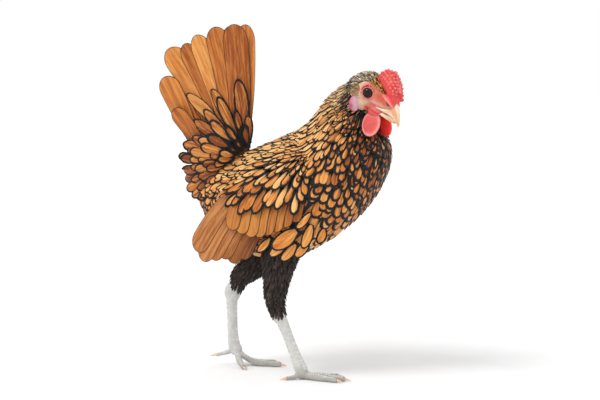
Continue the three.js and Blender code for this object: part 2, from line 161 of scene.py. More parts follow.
# ---------------------------------------------------------------- the camera
# A long lens a little above the bird's back, from its right and slightly from ahead.
CAMERA_AZIMUTH = 15.0  # degrees, round from the bird's right side towards its breast
CAMERA_HEIGHT = 5.0  # degrees above level
CAMERA_DISTANCE = 1.45
CAMERA_LENS, SENSOR_WIDE = 100.0, 36.0  # mm
LOOKS_AT = Vector((0.01233, -0.00032, 0.1525))
azimuth, height = np.radians(CAMERA_AZIMUTH), np.radians(CAMERA_HEIGHT)
level = np.cos(height)
back = Vector((np.sin(azimuth) * level, -np.cos(azimuth) * level, np.sin(height)))
camera = bpy.data.objects.new("camera", bpy.data.cameras.new("camera"))
camera.data.lens = CAMERA_LENS
camera.data.sensor_width = SENSOR_WIDE
camera.location = LOOKS_AT + CAMERA_DISTANCE * back
camera.rotation_euler = back.to_track_quat("Z", "Y").to_euler()
bpy.context.scene.collection.objects.link(camera)
bpy.context.scene.camera = camera

# ---------------------------------------------------------------- the skin
# One skin over body, head, comb, wattles, ear lobes and legs. It lies under the plumage by the
# depth of the coat, and is bare on the face, the comb and the scaled legs.
STANCE = np.array([12.33, -0.32, 0.0])  # mm from the point between the hips to the frame's origin

# Rows along the body from rump to throat: back x and z, belly x and z, half width, middle
BODY_ROWS = [
    [-88, 182, -94, 156, 15, 0],
    [-68, 187, -78, 129, 29, 0],
    [-44, 196, -52, 108, 38, 0],
    [-18, 206.5, -18, 100, 43.5, 0],
    [0, 215, 14, 110.5, 46, 0],
    [13, 226, 44, 131, 46, -0.5],
    [21, 238, 66, 155, 41, -1.5],
    [29.3, 245, 80, 182, 31, -5],
    [37.2, 250.8, 82, 202, 21.5, -9],
    [43.8, 255, 75.5, 214.5, 16, -13],
    [48.5, 256.8, 62, 228, 13, -16],
]
BODY_EGG = 0.14  # how much wider the body is low down than high up
BODY_COAT, NECK_COAT = 6.0, 3.2  # depth of the plumage over body and neck
NECK_FROM, NECK_TO = 0.6, 0.85  # shares of the body between which one turns into the other

HEAD_CENTRE = np.array([70.2, -23.5, 247.0])
HEAD_PITCH = np.radians(26.0)  # beak down
HEAD_YAW = np.radians(-30.0)  # turned to the right
# Rows along the head: x, top z, bottom z, half width
HEAD_ROWS = [
    [-21, 6, -13, 11],
    [-14, 12.5, -16, 13.6],
    [-6, 15.2, -17.6, 13.8],
    [2, 14.6, -18.0, 12.6],
    [10, 11.6, -15.6, 10.4],
    [17, 7.2, -13.2, 8],
    [22, 3.5, -12.4, 6],
]
HEAD_COAT = 1.1
EYE_RADIUS = 5.2
EYE_CENTRE = np.array([2.7, 9.2, 1.5])  # of the left eye
COMB_ROWS = [
    [2.8, 20.5, 10, 5.4],
    [8, 25, 9, 8.2],
    [14, 25.5, 6, 9.2],
    [21, 20.5, 3, 8.6],
    [27, 12, 1, 6.5],
]
# Leaves of bare skin: centre, half sizes (long, thick, high), lean and splay in degrees
WATTLE = [(15.0, 7.0, -21.8), (9.2, 1.7, 11.0), -24.0, 16.0]
WATTLE_LEFT = [(17.0, 7.0, -21.6), (9.6, 1.7, 11.0), -24.0, 16.0]
LOBE = [(-5.9, 11.8, -13.6), (5.2, 2.5, 6.7), -31.0, 0.0]
# Rows down a leg: x, distance out, z, half width sideways, half width fore and aft
LEGS = {
    "right": {
        "side": -1,
        "thigh": [
            [-8, 26, 122, 16, 19],
            [-11, 26, 104, 14.5, 16.5],
            [-14, 25, 86, 11.5, 12.5],
            [-15.5, 24.5, 68, 9, 9.8],
            [-12.5, 24, 54, 6.4, 7.2],
        ],
        "shank": [
            [-15, 24, 62, 5, 5.2],
            [-10.5, 24, 51, 4.4, 5.2],
            [-3.8, 24, 35, 3.9, 4.5],
            [2.6, 24, 19, 4, 4.8],
            [7, 24, 8.5, 4.8, 5.8],
        ],
        "hock": [-13, 24, 55, 5, 6, 8],  # x, distance out, z, half sizes sideways, fore and aft, and up
        "pad": [8, 24, 5.4, 5.6],  # x, distance out, z, radius
        # A toe: length, heading in degrees, radius, height of its end, share before it lands
        "toes": {
            "outer": [34, -15, 3.3, 0, 0.3],
            "middle": [38, -3, 3.5, 0, 0.3],
            "inner": [31, 22, 3.3, 0, 0.3],
            "hind": [14, -142, 2.6, 0, 0.6],
        },
    },
    "left": {
        "side": 1,
        "thigh": [
            [-30, 26, 122, 15, 20],
            [-36, 26, 106, 14, 17],
            [-51, 25, 90, 12, 13.5],
            [-61.2, 24.5, 80, 8.8, 10],
            [-65.4, 24, 70, 6, 7.4],
        ],
        "shank": [
            [-68.9, 24, 72, 4.6, 5.2],
            [-70, 24, 60, 4.6, 5.2],
            [-69.5, 24, 42, 4, 4.7],
            [-69, 24, 27, 4.2, 4.8],
            [-67.5, 24, 16, 4.8, 5.6],
        ],
        "hock": [-69.3, 24, 65.5, 5.4, 7.6, 9.5],
        "pad": [-66, 24, 14, 5.6],
        "toes": {
            "outer": [35, 20, 3.3, 0, 0.55],
            "middle": [41, 1, 3.5, 0, 0.55],
            "inner": [23, -56, 3.3, 0, 0.9],
            "hind": [17, 191, 2.5, 7, 1.5],
        },
    },
}
TOE_TAPER = 0.38
TOE_KNUCKLES = 2
KNUCKLE = 0.07  # how much thicker a toe is at its pads
TREAD = 0.45  # how deep the pads press on the floor
UPWARD = np.array([0.0, 0.0, 1.0])


def between(rows, share):
    """A smooth row at each share of the way along rows: Catmull-Rom inside, a straight line beyond."""
    rows = np.asarray(rows, float)
    last = len(rows) - 1
    ends = np.vstack([2 * rows[0] - rows[1], rows, 2 * rows[-1] - rows[-2]])
    place = np.asarray(share, float) * last
    inside = np.clip(place, 0, last)
    k = np.clip(np.floor(inside), 0, last - 1).astype(int)
    u = (inside - k)[..., None]
    a, b, c, d = (ends[k + i] for i in range(4))
    square, cube = 2 * a - 5 * b + 4 * c - d, 3 * b - a - 3 * c + d
    slope = 0.5 * (c - a + 2 * square * u + 3 * cube * u**2)
    smooth = 0.5 * (2 * b + (c - a) * u + square * u**2 + cube * u**3)
    return smooth + slope * (place - inside)[..., None]


def length_of(vectors):
    return np.linalg.norm(vectors, axis=-1, keepdims=True)


def unit(vectors):
    return vectors / np.maximum(length_of(vectors), 1e-9)


def ramp(value, low, high):
    """0 at low, 1 at high and a smooth step between."""
    share = np.clip((np.asarray(value, float) - low) / (high - low), 0, 1)
    return share * share * (3 - 2 * share)


def oval(centre, up, side, turn, egg=0.0, grow=0.0):
    """centre + up cos(turn) + side sin(turn), the sides wider low down by egg, both axes longer by grow."""
    turn = np.asarray(turn, float)[..., None]
    grow = np.asarray(grow, float)[..., None]
    longer_up, longer_side = up + grow * unit(up), side + grow * unit(side)
    return centre + longer_up * np.cos(turn) + longer_side * np.sin(turn) * (1 - egg * np.cos(turn))


def stacked(*parts):
    """Parts of any shapes that fit together, as the last axis of one array."""
    return np.stack(np.broadcast_arrays(*parts), -1)


yaw, pitch = HEAD_YAW, HEAD_PITCH
ABOUT_Z = np.array([[np.cos(yaw), -np.sin(yaw), 0], [np.sin(yaw), np.cos(yaw), 0], [0, 0, 1]])
ABOUT_Y = np.array([[np.cos(pitch), 0, np.sin(pitch)], [0, 1, 0], [-np.sin(pitch), 0, np.cos(pitch)]])
HEAD_AXES = ABOUT_Z @ ABOUT_Y


def from_head(places):
    """The head's own frame (x along the gape, y to its left, z up) to the bird's."""
    return places @ HEAD_AXES.T + HEAD_CENTRE


def to_head(places):
    return (places - HEAD_CENTRE) @ HEAD_AXES


BOTH = np.array([[1, -1, 1], [1, 1, 1]])  # the right and the left one of a pair on the head
WATTLE_ROOM = from_head(WATTLE[0] * BOTH), 13.0, 7.0  # places, reach and depth of the hollow behind them
LOBE_ROOM = from_head(LOBE[0] * BOTH), 8.0, 4.5


def body(share, turn, grow=0.0):
    """
    The body's surface: an oval between the line of the back and the line of breast and belly, drawn in
    by depth · exp(-(distance / reach)²) behind the wattles and ear lobes, which hang clear of it.
    """
    back_x, back_z, belly_x, belly_z, half, middle = np.moveaxis(between(BODY_ROWS, share), -1, 0)
    centre = stacked((back_x + belly_x) / 2, middle, (back_z + belly_z) / 2)
    up = stacked((back_x - belly_x) / 2, 0.0, (back_z - belly_z) / 2)
    places = oval(centre, up, stacked(0.0, half, 0.0), turn, BODY_EGG, grow)
    inward = unit(centre - places)
    drawn_in = 0.0
    for rooms, reach, depth in (WATTLE_ROOM, LOBE_ROOM):
        for room in rooms:
            drawn_in = np.maximum(drawn_in, depth * np.exp(-((length_of(places - room) / reach) ** 2)))
    return places + inward * drawn_in


def coat_depth(share):
    return BODY_COAT + (NECK_COAT - BODY_COAT) * ramp(share, NECK_FROM, NECK_TO)


def lofted(rows, share, turn, grow=0.0):
    """In the head's frame: an oval at each x between a top line and a bottom line."""
    x, top, bottom, half = np.moveaxis(between(rows, share), -1, 0)
    centre, up = stacked(x, 0.0, (top + bottom) / 2), stacked(0.0, 0.0, (top - bottom) / 2)
    return oval(centre, up, stacked(0.0, half, 0.0), turn, 0.0, grow)


def head(share, turn, grow=0.0):
    return from_head(lofted(HEAD_ROWS, share, turn, grow))


def limb(rows, side, share, turn, grow=0.0):
    """A limb's surface: an oval square to the limb's line, turn 0 in front and rising to its left."""
    x, out, z, half, deep = np.moveaxis(between(rows, share), -1, 0)
    ahead = between(rows, np.asarray(share) + 0.02) - between(rows, np.asarray(share) - 0.02)
    fore = unit(stacked(-ahead[..., 2], 0.0, ahead[..., 0])) * deep[..., None]
    centre = stacked(x, side * out, z)
    return oval(centre, fore, stacked(0.0, half, 0.0), turn, 0.0, grow)


def toe_line(leg, toe, share):
    """A toe's centre falls from the pad to its resting height, and its radius swells at its pads."""
    x, out, z, _ = leg["pad"]
    length, heading, radius, end_height, landing = toe
    slim = radius * (1 - TOE_TAPER * share)
    rest = end_height + slim * (1 + KNUCKLE) - TREAD
    fall = np.maximum(0, 1 - share / landing) ** 2
    turn = np.radians(heading)
    centre = stacked(
        x + length * share * np.cos(turn),
        leg["side"] * out + length * share * np.sin(turn),
        rest + (z - rest) * fall,
    )
    return centre, slim * (1 + KNUCKLE * np.cos(2 * np.pi * TOE_KNUCKLES * share))


def toe_skin(leg, toe, share, turn):
    """A toe's surface: round, turn 0 on top and rising to its left."""
    centre, thick = toe_line(leg, toe, np.asarray(share))
    heading = np.radians(toe[1])
    across = np.array([-np.sin(heading), np.cos(heading), 0.0])
    return oval(centre, UPWARD * thick[..., None], across * thick[..., None], turn)


def outward(places, *faces):
    """The faces, all turned round if the volume they enclose is negative."""
    volume = 0.0
    for face in faces:
        a = places[face[:, 0]]
        for k in range(1, face.shape[1] - 1):
            b, c = places[face[:, k]], places[face[:, k + 1]]
            volume += np.einsum("ij,ij->", a, np.cross(b, c))
    return faces if volume > 0 else tuple(face[:, ::-1] for face in faces)


DOME_STEPS = np.radians([25, 50, 72])  # where a dome has its rings, up from its rim


def closed(rings, depths=(0.0, 0.0)):
    """A closed shape through rings of places: each end is a dome of the given depth, or flat."""

    def dome(end, inner, depth):
        middle, out = end.mean(0), unit(end.mean(0) - inner.mean(0)) * depth
        steps = DOME_STEPS[:, None, None] if depth else np.zeros((0, 1, 1))
        return middle + (end - middle) * np.cos(steps) + out * np.sin(steps), middle + out

    before, start = dome(rings[0], rings[1], depths[0])
    after, end = dome(rings[-1], rings[-2], depths[1])
    stack = np.concatenate([before[::-1], rings, after])
    around = rings.shape[1]
    places = np.vstack([stack.reshape(-1, 3), start, end])
    i = np.arange(around)
    j = (i + 1) % around
    base = np.arange(len(stack) - 1)[:, None] * around
    quads = np.stack([base + i, base + j, base + j + around, base + i + around], -1).reshape(-1, 4)
    poles = len(stack) * around
    top = poles - around
    caps = [[np.full(around, poles), j, i], [np.full(around, poles + 1), top + i, top + j]]
    return places, *outward(places, quads, np.concatenate([np.stack(cap, -1) for cap in caps]))


def piece_of(name, shapes):
    """One mesh object of closed shapes, each its places in mm and arrays of faces that face outward."""
    mesh = bpy.data.meshes.new(name)
    start = np.cumsum([0] + [len(shape[0]) for shape in shapes])
    faces = [face + at for shape, at in zip(shapes, start) for face in shape[1:]]
    places = (np.concatenate([shape[0] for shape in shapes]) + STANCE) / 1000.0
    corners = np.concatenate([face.ravel() for face in faces])
    sides = np.concatenate([np.full(len(face), face.shape[1]) for face in faces])
    mesh.vertices.add(len(places))
    mesh.vertices.foreach_set("co", places.astype(np.float32).ravel())
    mesh.loops.add(len(corners))
    mesh.loops.foreach_set("vertex_index", corners.astype(np.int32))
    mesh.polygons.add(len(sides))
    mesh.polygons.foreach_set("loop_start", (np.cumsum(sides) - sides).astype(np.int32))
    mesh.update(calc_edges=True)
    mesh.shade_smooth()
    made = bpy.data.objects.new(name, mesh)
    bpy.context.scene.collection.objects.link(made)
    return made


def settle(piece):
    """Applies the piece's modifiers to its mesh."""
    graph = bpy.context.evaluated_depsgraph_get()
    mesh = bpy.data.meshes.new_from_object(piece.evaluated_get(graph))
    piece.modifiers.clear()
    piece.data = mesh
    mesh.name = piece.name
    return piece


def blended(name, shapes, voxel, rounds):
    """Closed shapes that overlap, melted into one skin on a grid of voxel mm and smoothed."""
    piece = piece_of(name, shapes)
    melt = piece.modifiers.new("melt", "REMESH")
    melt.mode = "VOXEL"
    melt.voxel_size = voxel / 1000.0
    smooth = piece.modifiers.new("smooth", "SMOOTH")
    smooth.factor = 0.5
    smooth.iterations = rounds
    return settle(piece)


def combine(piece, others, operation):
    """Joins the others to the piece, or cuts them out of it, and removes them."""
    for other in others:
        cut = piece.modifiers.new("join", "BOOLEAN")
        cut.operation = operation
        cut.solver = "MANIFOLD"
        cut.object = other
    settle(piece)
    for other in others:
        bpy.data.objects.remove(other)
    return piece


def ball(centre, half, about=np.eye(3), count=(16, 24)):
    """A closed ellipsoid: centre + about · (half sizes × unit ball)."""
    rise = np.pi * (np.arange(1, count[0]) / count[0])[:, None]
    turn = 2 * np.pi * (np.arange(count[1]) / count[1])[None, :]
    sphere = stacked(np.sin(rise) * np.cos(turn), np.sin(rise) * np.sin(turn), np.cos(rise) + 0 * turn)
    places, quads, caps = closed(sphere)
    places[-2:] = [[0, 0, 1.0], [0, 0, -1.0]]
    return centre + (places * half) @ about.T, quads, caps


def hoop(centre, axis, radii, thick, rows=48, around=10, tall=(0, 0, 1)):
    """A closed ring: a round section of radius thick carried round an oval square to axis."""
    axis = unit(np.asarray(axis, float))
    up = unit(np.asarray(tall, float) - axis * np.dot(tall, axis))
    side = np.cross(up, axis)
    turn = 2 * np.pi * np.arange(rows)[:, None] / rows
    wind = 2 * np.pi * np.arange(around)[None, :] / around
    spoke = stacked(np.cos(turn), np.sin(turn)) * np.asarray(radii)
    spot = centre + spoke[..., :1] * side + spoke[..., 1:] * up
    out = unit(spot - centre)
    places = spot + thick * (np.cos(wind)[..., None] * out + np.sin(wind)[..., None] * axis)
    i, j = np.arange(rows)[:, None], np.arange(around)[None, :]
    i2, j2 = (i + 1) % rows, (j + 1) % around
    quads = np.stack([i * around + j, i2 * around + j, i2 * around + j2, i * around + j2], -1)
    places = places.reshape(-1, 3)
    return places, *outward(places, quads.reshape(-1, 4))


def turned(lean, splay):
    """Lean about y, then splay about x, in degrees, as one turning."""
    a, b = np.radians(lean), np.radians(splay)
    lean = np.array([[np.cos(a), 0, np.sin(a)], [0, 1, 0], [-np.sin(a), 0, np.cos(a)]])
    return np.array([[1, 0, 0], [0, np.cos(b), -np.sin(b)], [0, np.sin(b), np.cos(b)]]) @ lean


def in_head(shape):
    """A shape of the head's own frame, put in its place on the bird."""
    return from_head(shape[0]), *shape[1:]


def shares(count):
    """A column of shares from 0 to 1, for the rings of a shape."""
    return np.linspace(0, 1, count)[:, None]


def turns(count):
    """A row of turns round a full circle, for the places of a ring."""
    return 2 * np.pi * np.arange(count)[None, :] / count


def frame_on(surface, at, core=None):
    """
    Places of a surface at rows of (share, turn), their outward normals, and the two edge vectors.
    Outward is away from core(places), or else from the far side of the oval.
    """
    share, turn = at[..., 0], at[..., 1]
    step = 1e-3
    here = surface(share, turn)
    along = (surface(share + step, turn) - surface(share - step, turn)) / (2 * step)
    round_it = (surface(share, turn + step) - surface(share, turn - step)) / (2 * step)
    normal = unit(np.cross(along, round_it))
    inside = core(here) if core else surface(share, turn + np.pi)
    facing = np.sign(np.einsum("...j,...j->...", normal, here - inside))
    return here, normal * facing[..., None], (along, round_it)


def steps_on(edges, moves):
    """The (share, turn) steps that carry a place by moves in mm, by least squares on the two edges."""
    a, b = edges
    aa, bb, ab = (np.einsum("...j,...j->...", p, q) for p, q in ((a, a), (b, b), (a, b)))
    am, bm = np.einsum("...j,...j->...", a, moves), np.einsum("...j,...j->...", b, moves)
    whole = np.maximum(aa * bb - ab**2, 1e-9)
    return np.stack([(am * bb - bm * ab) / whole, (bm * aa - am * ab) / whole], -1)


DRAWS, PUSHES = 30000, 24  # places that roots are drawn from, and rounds in which they move apart
PACKING = 0.9  # share of a square of the spacing that one root takes up
PUSH_REACH, PUSH_STEP = 1.12, 0.45  # in shares of the spacing


def spread(surface, spacing, seed, low=(0.0, 0.0), high=(1.0, 2 * np.pi), keep=None, core=None):
    """
    Roots spread evenly over surface(share, turn), spacing(places, at) mm apart. Random roots are
    drawn by area over spacing squared, then each is pushed off its neighbours in a few rounds.
    """
    rng = np.random.default_rng(seed)
    low, high = np.array(low), np.array(high)
    at = low + (high - low) * rng.random((DRAWS, 2))
    here, normal, edges = frame_on(surface, at, core)
    weight = length_of(np.cross(edges[0], edges[1]))[:, 0] / spacing(here, at) ** 2
    if keep is not None:
        weight = weight * keep(here, at)
    count = int(weight.mean() * np.prod(high - low) / PACKING)
    at = at[rng.choice(DRAWS, count, replace=False, p=weight / weight.sum())]
    whole = high[1] - low[1] > 2 * np.pi - 1e-6
    for push_round in range(PUSHES):
        here, normal, edges = frame_on(surface, at, core)
        reach = spacing(here, at).astype(np.float32)
        flat = here.astype(np.float32)
        apart = flat[:, None] - flat[None]
        gap = np.sqrt(np.einsum("ijk,ijk->ij", apart, apart)) + 1e-6
        near = np.clip(PUSH_REACH - gap / (0.5 * (reach[:, None] + reach[None])), 0, 1) / gap
        np.fill_diagonal(near, 0)
        push = np.einsum("ijk,ij->ik", apart, near) * reach[:, None] * PUSH_STEP
        at = at + steps_on(edges, push)
        at[:, 0] = np.clip(at[:, 0], low[0], high[0])
        if whole:
            at[:, 1] = np.mod(at[:, 1] - low[1], 2 * np.pi) + low[1]
        else:
            at[:, 1] = np.clip(at[:, 1], low[1], high[1])
    if keep is not None:
        here = surface(at[:, 0], at[:, 1])
        at = at[keep(here, at) > 0]
    return at


# Head, comb, wattles, ear lobes and the top of the neck melt together. The comb is a low block
# with fleshy points on top. Round each eye lie a lid and an outer fold, and the leaves have rolled rims.
LID = {"radii": (4.85, 4.75), "thick": 0.7, "out": 2.6}
FOLD = {"radii": (6.7, 6.5), "thick": 0.75, "out": 1.0}
EYE_FACES = np.array([0.5, 1.0, 0.06])  # the left eye looks out and ahead
COMB_INSET = 1.7  # of the block inside the ends of its points
POINT_SPACING, POINT_HIGH, POINT_WIDE = 2.8, 2.5, 1.5
POINT_TURN = 1.2  # how far the points reach round from the top, in radians
POINT_LEAN = 0.12
RIM_THICK, RIM_INSET = 0.95, 0.9  # of the rolled rims
# Swellings of the left side: centre and half sizes
SWELLINGS = np.array([
    [[1.0, 7.4, -7.5], [6.5, 4.2, 5.0]],  # the cheek below the eye
    [[-1.5, 8.0, -11.0], [6.5, 4.6, 5.5]],  # the cheek behind the gape
    [[13.0, 5.4, -9.4], [6.5, 3.2, 3.0]],  # the skin of the gape, which runs on to the beak
    [[11.5, 6.0, -13.0], [6.0, 1.8, 4.5]],  # the wattle's root at the corner of the mouth
    [[19.5, 2.4, 0.6], [9.5, 5.0, 6.0]],  # the skin over the root of the upper beak
    [[24.5, 2.4, -1.0], [4.2, 2.6, 4.0]],  # the same, further ahead
])
HEAD_VOXEL, HEAD_ROUNDS = 0.52, 3
SOCKET_ROOM = 0.05
NECK_SKIN_FROM, NECK_SKIN_LONG = 0.72, 0.27  # in shares of the body


def leaf_shapes(leaf, side):
    """A thin rounded leaf with a rolled rim: an ellipsoid and a hoop round its edge."""
    centre, half, lean, splay = leaf
    about = turned(lean, splay * side)
    centre = np.array(centre) * (1, side, 1)
    body_of_leaf = ball(centre, np.array(half), about)
    radii = half[0] - RIM_INSET, half[2] - RIM_INSET
    return [body_of_leaf, hoop(centre, about[:, 1], radii, RIM_THICK, tall=about[:, 2])]


def comb_points():
    """Blunt cones standing on top of the comb's block, leaning outwards."""
    block = lambda share, turn: lofted(COMB_ROWS, share, turn, -COMB_INSET)
    apart = lambda here, at: np.full(len(here), POINT_SPACING)
    at = spread(block, apart, 11, (0.0, -POINT_TURN), (1.05, POINT_TURN))
    here, normal, _ = frame_on(block, at)
    rng = np.random.default_rng(12)
    high = POINT_HIGH * rng.uniform(0.7, 1.1, len(here))
    wide = POINT_WIDE * rng.uniform(0.85, 1.2, len(here))
    lean = unit(normal + rng.normal(0, POINT_LEAN, normal.shape))
    shapes = []
    for spot, axis, tall, thick in zip(here, lean, high, wide):
        across = unit(np.cross(axis, (0.3, 0.9, 0.1)))
        about = np.stack([across, np.cross(axis, across), axis], -1)
        shapes.append(ball(spot, np.array([thick, thick, tall]), about, (6, 8)))
    return shapes


def head_shapes():
    """All the closed shapes of the head in its own frame."""
    shapes = [closed(lofted(HEAD_ROWS, shares(30), turns(40), -HEAD_COAT), (3.0, 3.0))]
    shapes.append(closed(lofted(COMB_ROWS, shares(16), turns(28), -COMB_INSET), (2.0, 2.0)))
    shapes += comb_points()
    for side in (-1, 1):
        mirror = np.array([1, side, 1])
        axis = unit(EYE_FACES * mirror)
        eye = EYE_CENTRE * mirror
        for ring in (LID, FOLD):
            shapes.append(hoop(eye + axis * ring["out"], axis, ring["radii"], ring["thick"]))
        shapes += [ball(centre * mirror, half) for centre, half in SWELLINGS]
        for leaf in (WATTLE if side < 0 else WATTLE_LEFT, LOBE):
            shapes += leaf_shapes(leaf, side)
    return shapes


neck_share = NECK_SKIN_FROM + NECK_SKIN_LONG * shares(20)
neck_shape = closed(body(neck_share, turns(44), -coat_depth(neck_share)), (3.0, 3.0))
shapes = [in_head(shape) for shape in head_shapes()] + [neck_shape]
head_skin = blended("head_skin", shapes, HEAD_VOXEL, HEAD_ROUNDS)
socket_size = np.full(3, EYE_RADIUS + SOCKET_ROOM)
socket_shapes = [in_head(ball(EYE_CENTRE * mirror, socket_size, count=(24, 36))) for mirror in BOTH]
combine(head_skin, [piece_of("socket", [shape]) for shape in socket_shapes], "DIFFERENCE")

# Each leg melts together from thigh, shank, pad and toes. The toes are flat where they tread.
LEG_VOXEL, LEG_ROUNDS = 0.9, 2
THIGH_COAT = 3.0
TOE_DOME = 1.5
leg_skins = []
for name, leg in LEGS.items():
    side = leg["side"]
    thigh = closed(limb(leg["thigh"], side, shares(20), turns(28), -THIGH_COAT), (3.0, 3.0))
    shank = closed(limb(leg["shank"], side, shares(30), turns(28)), (3.0, 3.0))
    x, out, z, radius = leg["pad"]
    shapes = [thigh, shank, ball(np.array([x, side * out, z]), np.full(3, radius))]
    x, out, z, half, deep, high = leg["hock"]
    shapes.append(ball(np.array([x, side * out, z]), np.array([deep, half, high])))
    for toe in leg["toes"].values():
        shapes.append(closed(toe_skin(leg, toe, shares(28), turns(18)), (0.0, TOE_DOME)))
    leg_skins.append(blended("leg_skin", shapes, LEG_VOXEL, LEG_ROUNDS))

CORE_TO, CORE_INSET = 0.86, 0.2  # share of the body, and how far its own loft lies inside the neck's
core_share = CORE_TO * shares(48)
core_shape = closed(body(core_share, turns(48), -coat_depth(core_share) - CORE_INSET), (4.0, 3.0))
skin = piece_of("skin", [core_shape])
combine(skin, [head_skin, *leg_skins], "UNION")

# Its colours follow the anatomy: red comb and wattles, pink lids, a flesh-coloured cheek, white to
# purple ear lobes, pale slate legs, and a dark hide under the feathers. The left wattle is a brighter
# red, a painted glow of the light that shines through it.
HIDE, COMB_RED, COMB_TIP = "#241c19", "#e04440", "#f6938c"
# The third red is a painted glow: the left wattle's brighter red, for light shining through it.
WATTLE_RED, WATTLE_RIM, WATTLE_PAINTED_GLOW = "#da514e", "#ec8c88", "#ff362e"
CHEEK, LID_PINK, LORE, GAPE = "#d2ab90", "#e0726c", "#cf5339", "#d4655c"
LOBE_WHITE, LOBE_PINK, LOBE_PURPLE = "#c79aa4", "#e0668c", "#a24f7a"
SLATE, SLATE_SHADE = "#cccbc7", "#aaa8a0"
# On the head, x and z: where the crown's feathers end over the face, and where the comb stands out of them
CROWN_LINE = np.array([
    [-22, -30], [-15, -6], [-12.4, -1], [-8.2, 4.4], [-4.6, 8.7],
    [1.5, 10.1], [6.5, 8.3], [13, 6.4], [18, 5.7], [24, 0],
])
COMB_EDGE = np.array([[3.9, 22], [5.0, 20.5], [8.6, 14.9], [16.3, 9.4], [22, 4.2]])
COMB_MARGIN = 2.4
# Each pair below holds the two ends of a gradual change of colour, in mm on the head.
FACE_TOP, FACE_REAR, FACE_FOOT, FACE_SIDES = (-0.3, 0.5), (-15, -13.5), (-21, -18), (2, 5)
BEAK_FROM = 34
LIDS = 6.2, 9.0  # the pink round the eye, which fades outwards
LID_AHEAD, LID_RAISED = 1.6, 0.25  # how that is shifted
LORE_X, LORE_Z = (8.5, 13), (-5, 1)
GAPE_Z, GAPE_X, GAPE_HALF = -6.8, (4, 9), (1.7, 3.6)
WATTLE_ROOT_X, WATTLE_ROOT_HALF, WATTLE_ROOT_LOW = 12.5, (7.5, 9.5), (8.4, 10)
PAINTED_GLOW_SHARE = 0.9  # share of the painted glow in the left wattle, a brighter red for the light shining through it
COMB_X = -0.5, 1
# These are in shares of the way out in the comb or in a leaf.
COMB_PALE, COMB_RIM = (0.45, 0.9), (0.97, 1.05)
WATTLE_PALE, LOBE_FLUSH, LEAF_RIM = (0.84, 0.93), (0.62, 0.85), (1.0, 1.12)
LOBE_SPOT, LOBE_SPOT_REACH = -1.5, (1.0, 3.2)  # the purple spot: x and z in the lobe, and mm off it
STRONG = 0.8  # share of a colour that stays a little mixed
LEAF_MARGIN = 0.5  # mm by which a leaf's colour reaches past its half sizes
SCALES_TO = 46, 48  # all skin below this height is scaled
SOLE_SHADE = 4, 14  # and darker towards the floor
SHANK_REACH = 8.5, 9.5  # so is what lies this close to a shank's line
ABOVE_HOCK = 12  # up to this far above the hock


def in_leaf(places, leaf, side):
    """How far out in a leaf each place is: 0 at its middle, 1 at its rim, and its height there."""
    centre, half, lean, splay = leaf
    local = (places - np.array(centre) * (1, side, 1)) @ turned(lean, splay * side)
    return length_of(local / (np.array(half) + LEAF_MARGIN))[..., 0], local


def mix(first, second, share):
    """From the first colour to the second by share. Each may be an sRGB hex colour."""
    first, second = (np.array(linear(c)) if isinstance(c, str) else c for c in (first, second))
    return first + (second - first) * np.asarray(share)[..., None]


def vectors_of(mesh, key):
    """What the mesh's vertices hold under a key, such as their places, as rows of three."""
    flat = np.empty(len(mesh.vertices) * 3, np.float32)
    mesh.vertices.foreach_get(key, flat)
    return flat.reshape(-1, 3)


STORED = {"FLOAT": "value", "FLOAT_VECTOR": "vector", "FLOAT_COLOR": "color"}


def put(mesh, label, kind, values):
    """Stores values under a label, one for each vertex."""
    made = mesh.attributes.new(label, kind, "POINT")
    made.data.foreach_set(STORED[kind], np.ascontiguousarray(values, np.float32).ravel())


at = vectors_of(skin.data, "co").astype(float)
at[:, 2] = np.maximum(at[:, 2], 0.0)
skin.data.vertices.foreach_set("co", at.astype(np.float32).ravel())
spot = at * 1000.0 - STANCE
local = to_head(spot)
x, y, z = local.T
tint = np.tile(linear(HIDE), (len(at), 1))

# The face: from under the crown's feathers down to the throat, and back to the ear.
crown = np.interp(x, *CROWN_LINE.T)
face = ramp(crown - z, *FACE_TOP) * ramp(x, *FACE_REAR) * ramp(z, *FACE_FOOT)
face = face * ramp(np.abs(y), *FACE_SIDES) * (x < BEAK_FROM)
tint = mix(tint, CHEEK, face)
to_eye = length_of(stacked(x - EYE_CENTRE[0] - LID_AHEAD, z - EYE_CENTRE[2]))[..., 0]
lids = 1 - ramp(to_eye - LID_RAISED * (z - EYE_CENTRE[2]), *LIDS)
tint = mix(tint, LID_PINK, face * lids)
tint = mix(tint, LORE, face * ramp(x, *LORE_X) * ramp(z, *LORE_Z))
tint = mix(tint, GAPE, face * ramp(x, *GAPE_X) * (1 - ramp(np.abs(z - GAPE_Z), *GAPE_HALF)))
wattle_root = ramp(-z, *WATTLE_ROOT_LOW) * (1 - ramp(np.abs(x - WATTLE_ROOT_X), *WATTLE_ROOT_HALF))
tint = mix(tint, WATTLE_RED, face * wattle_root)
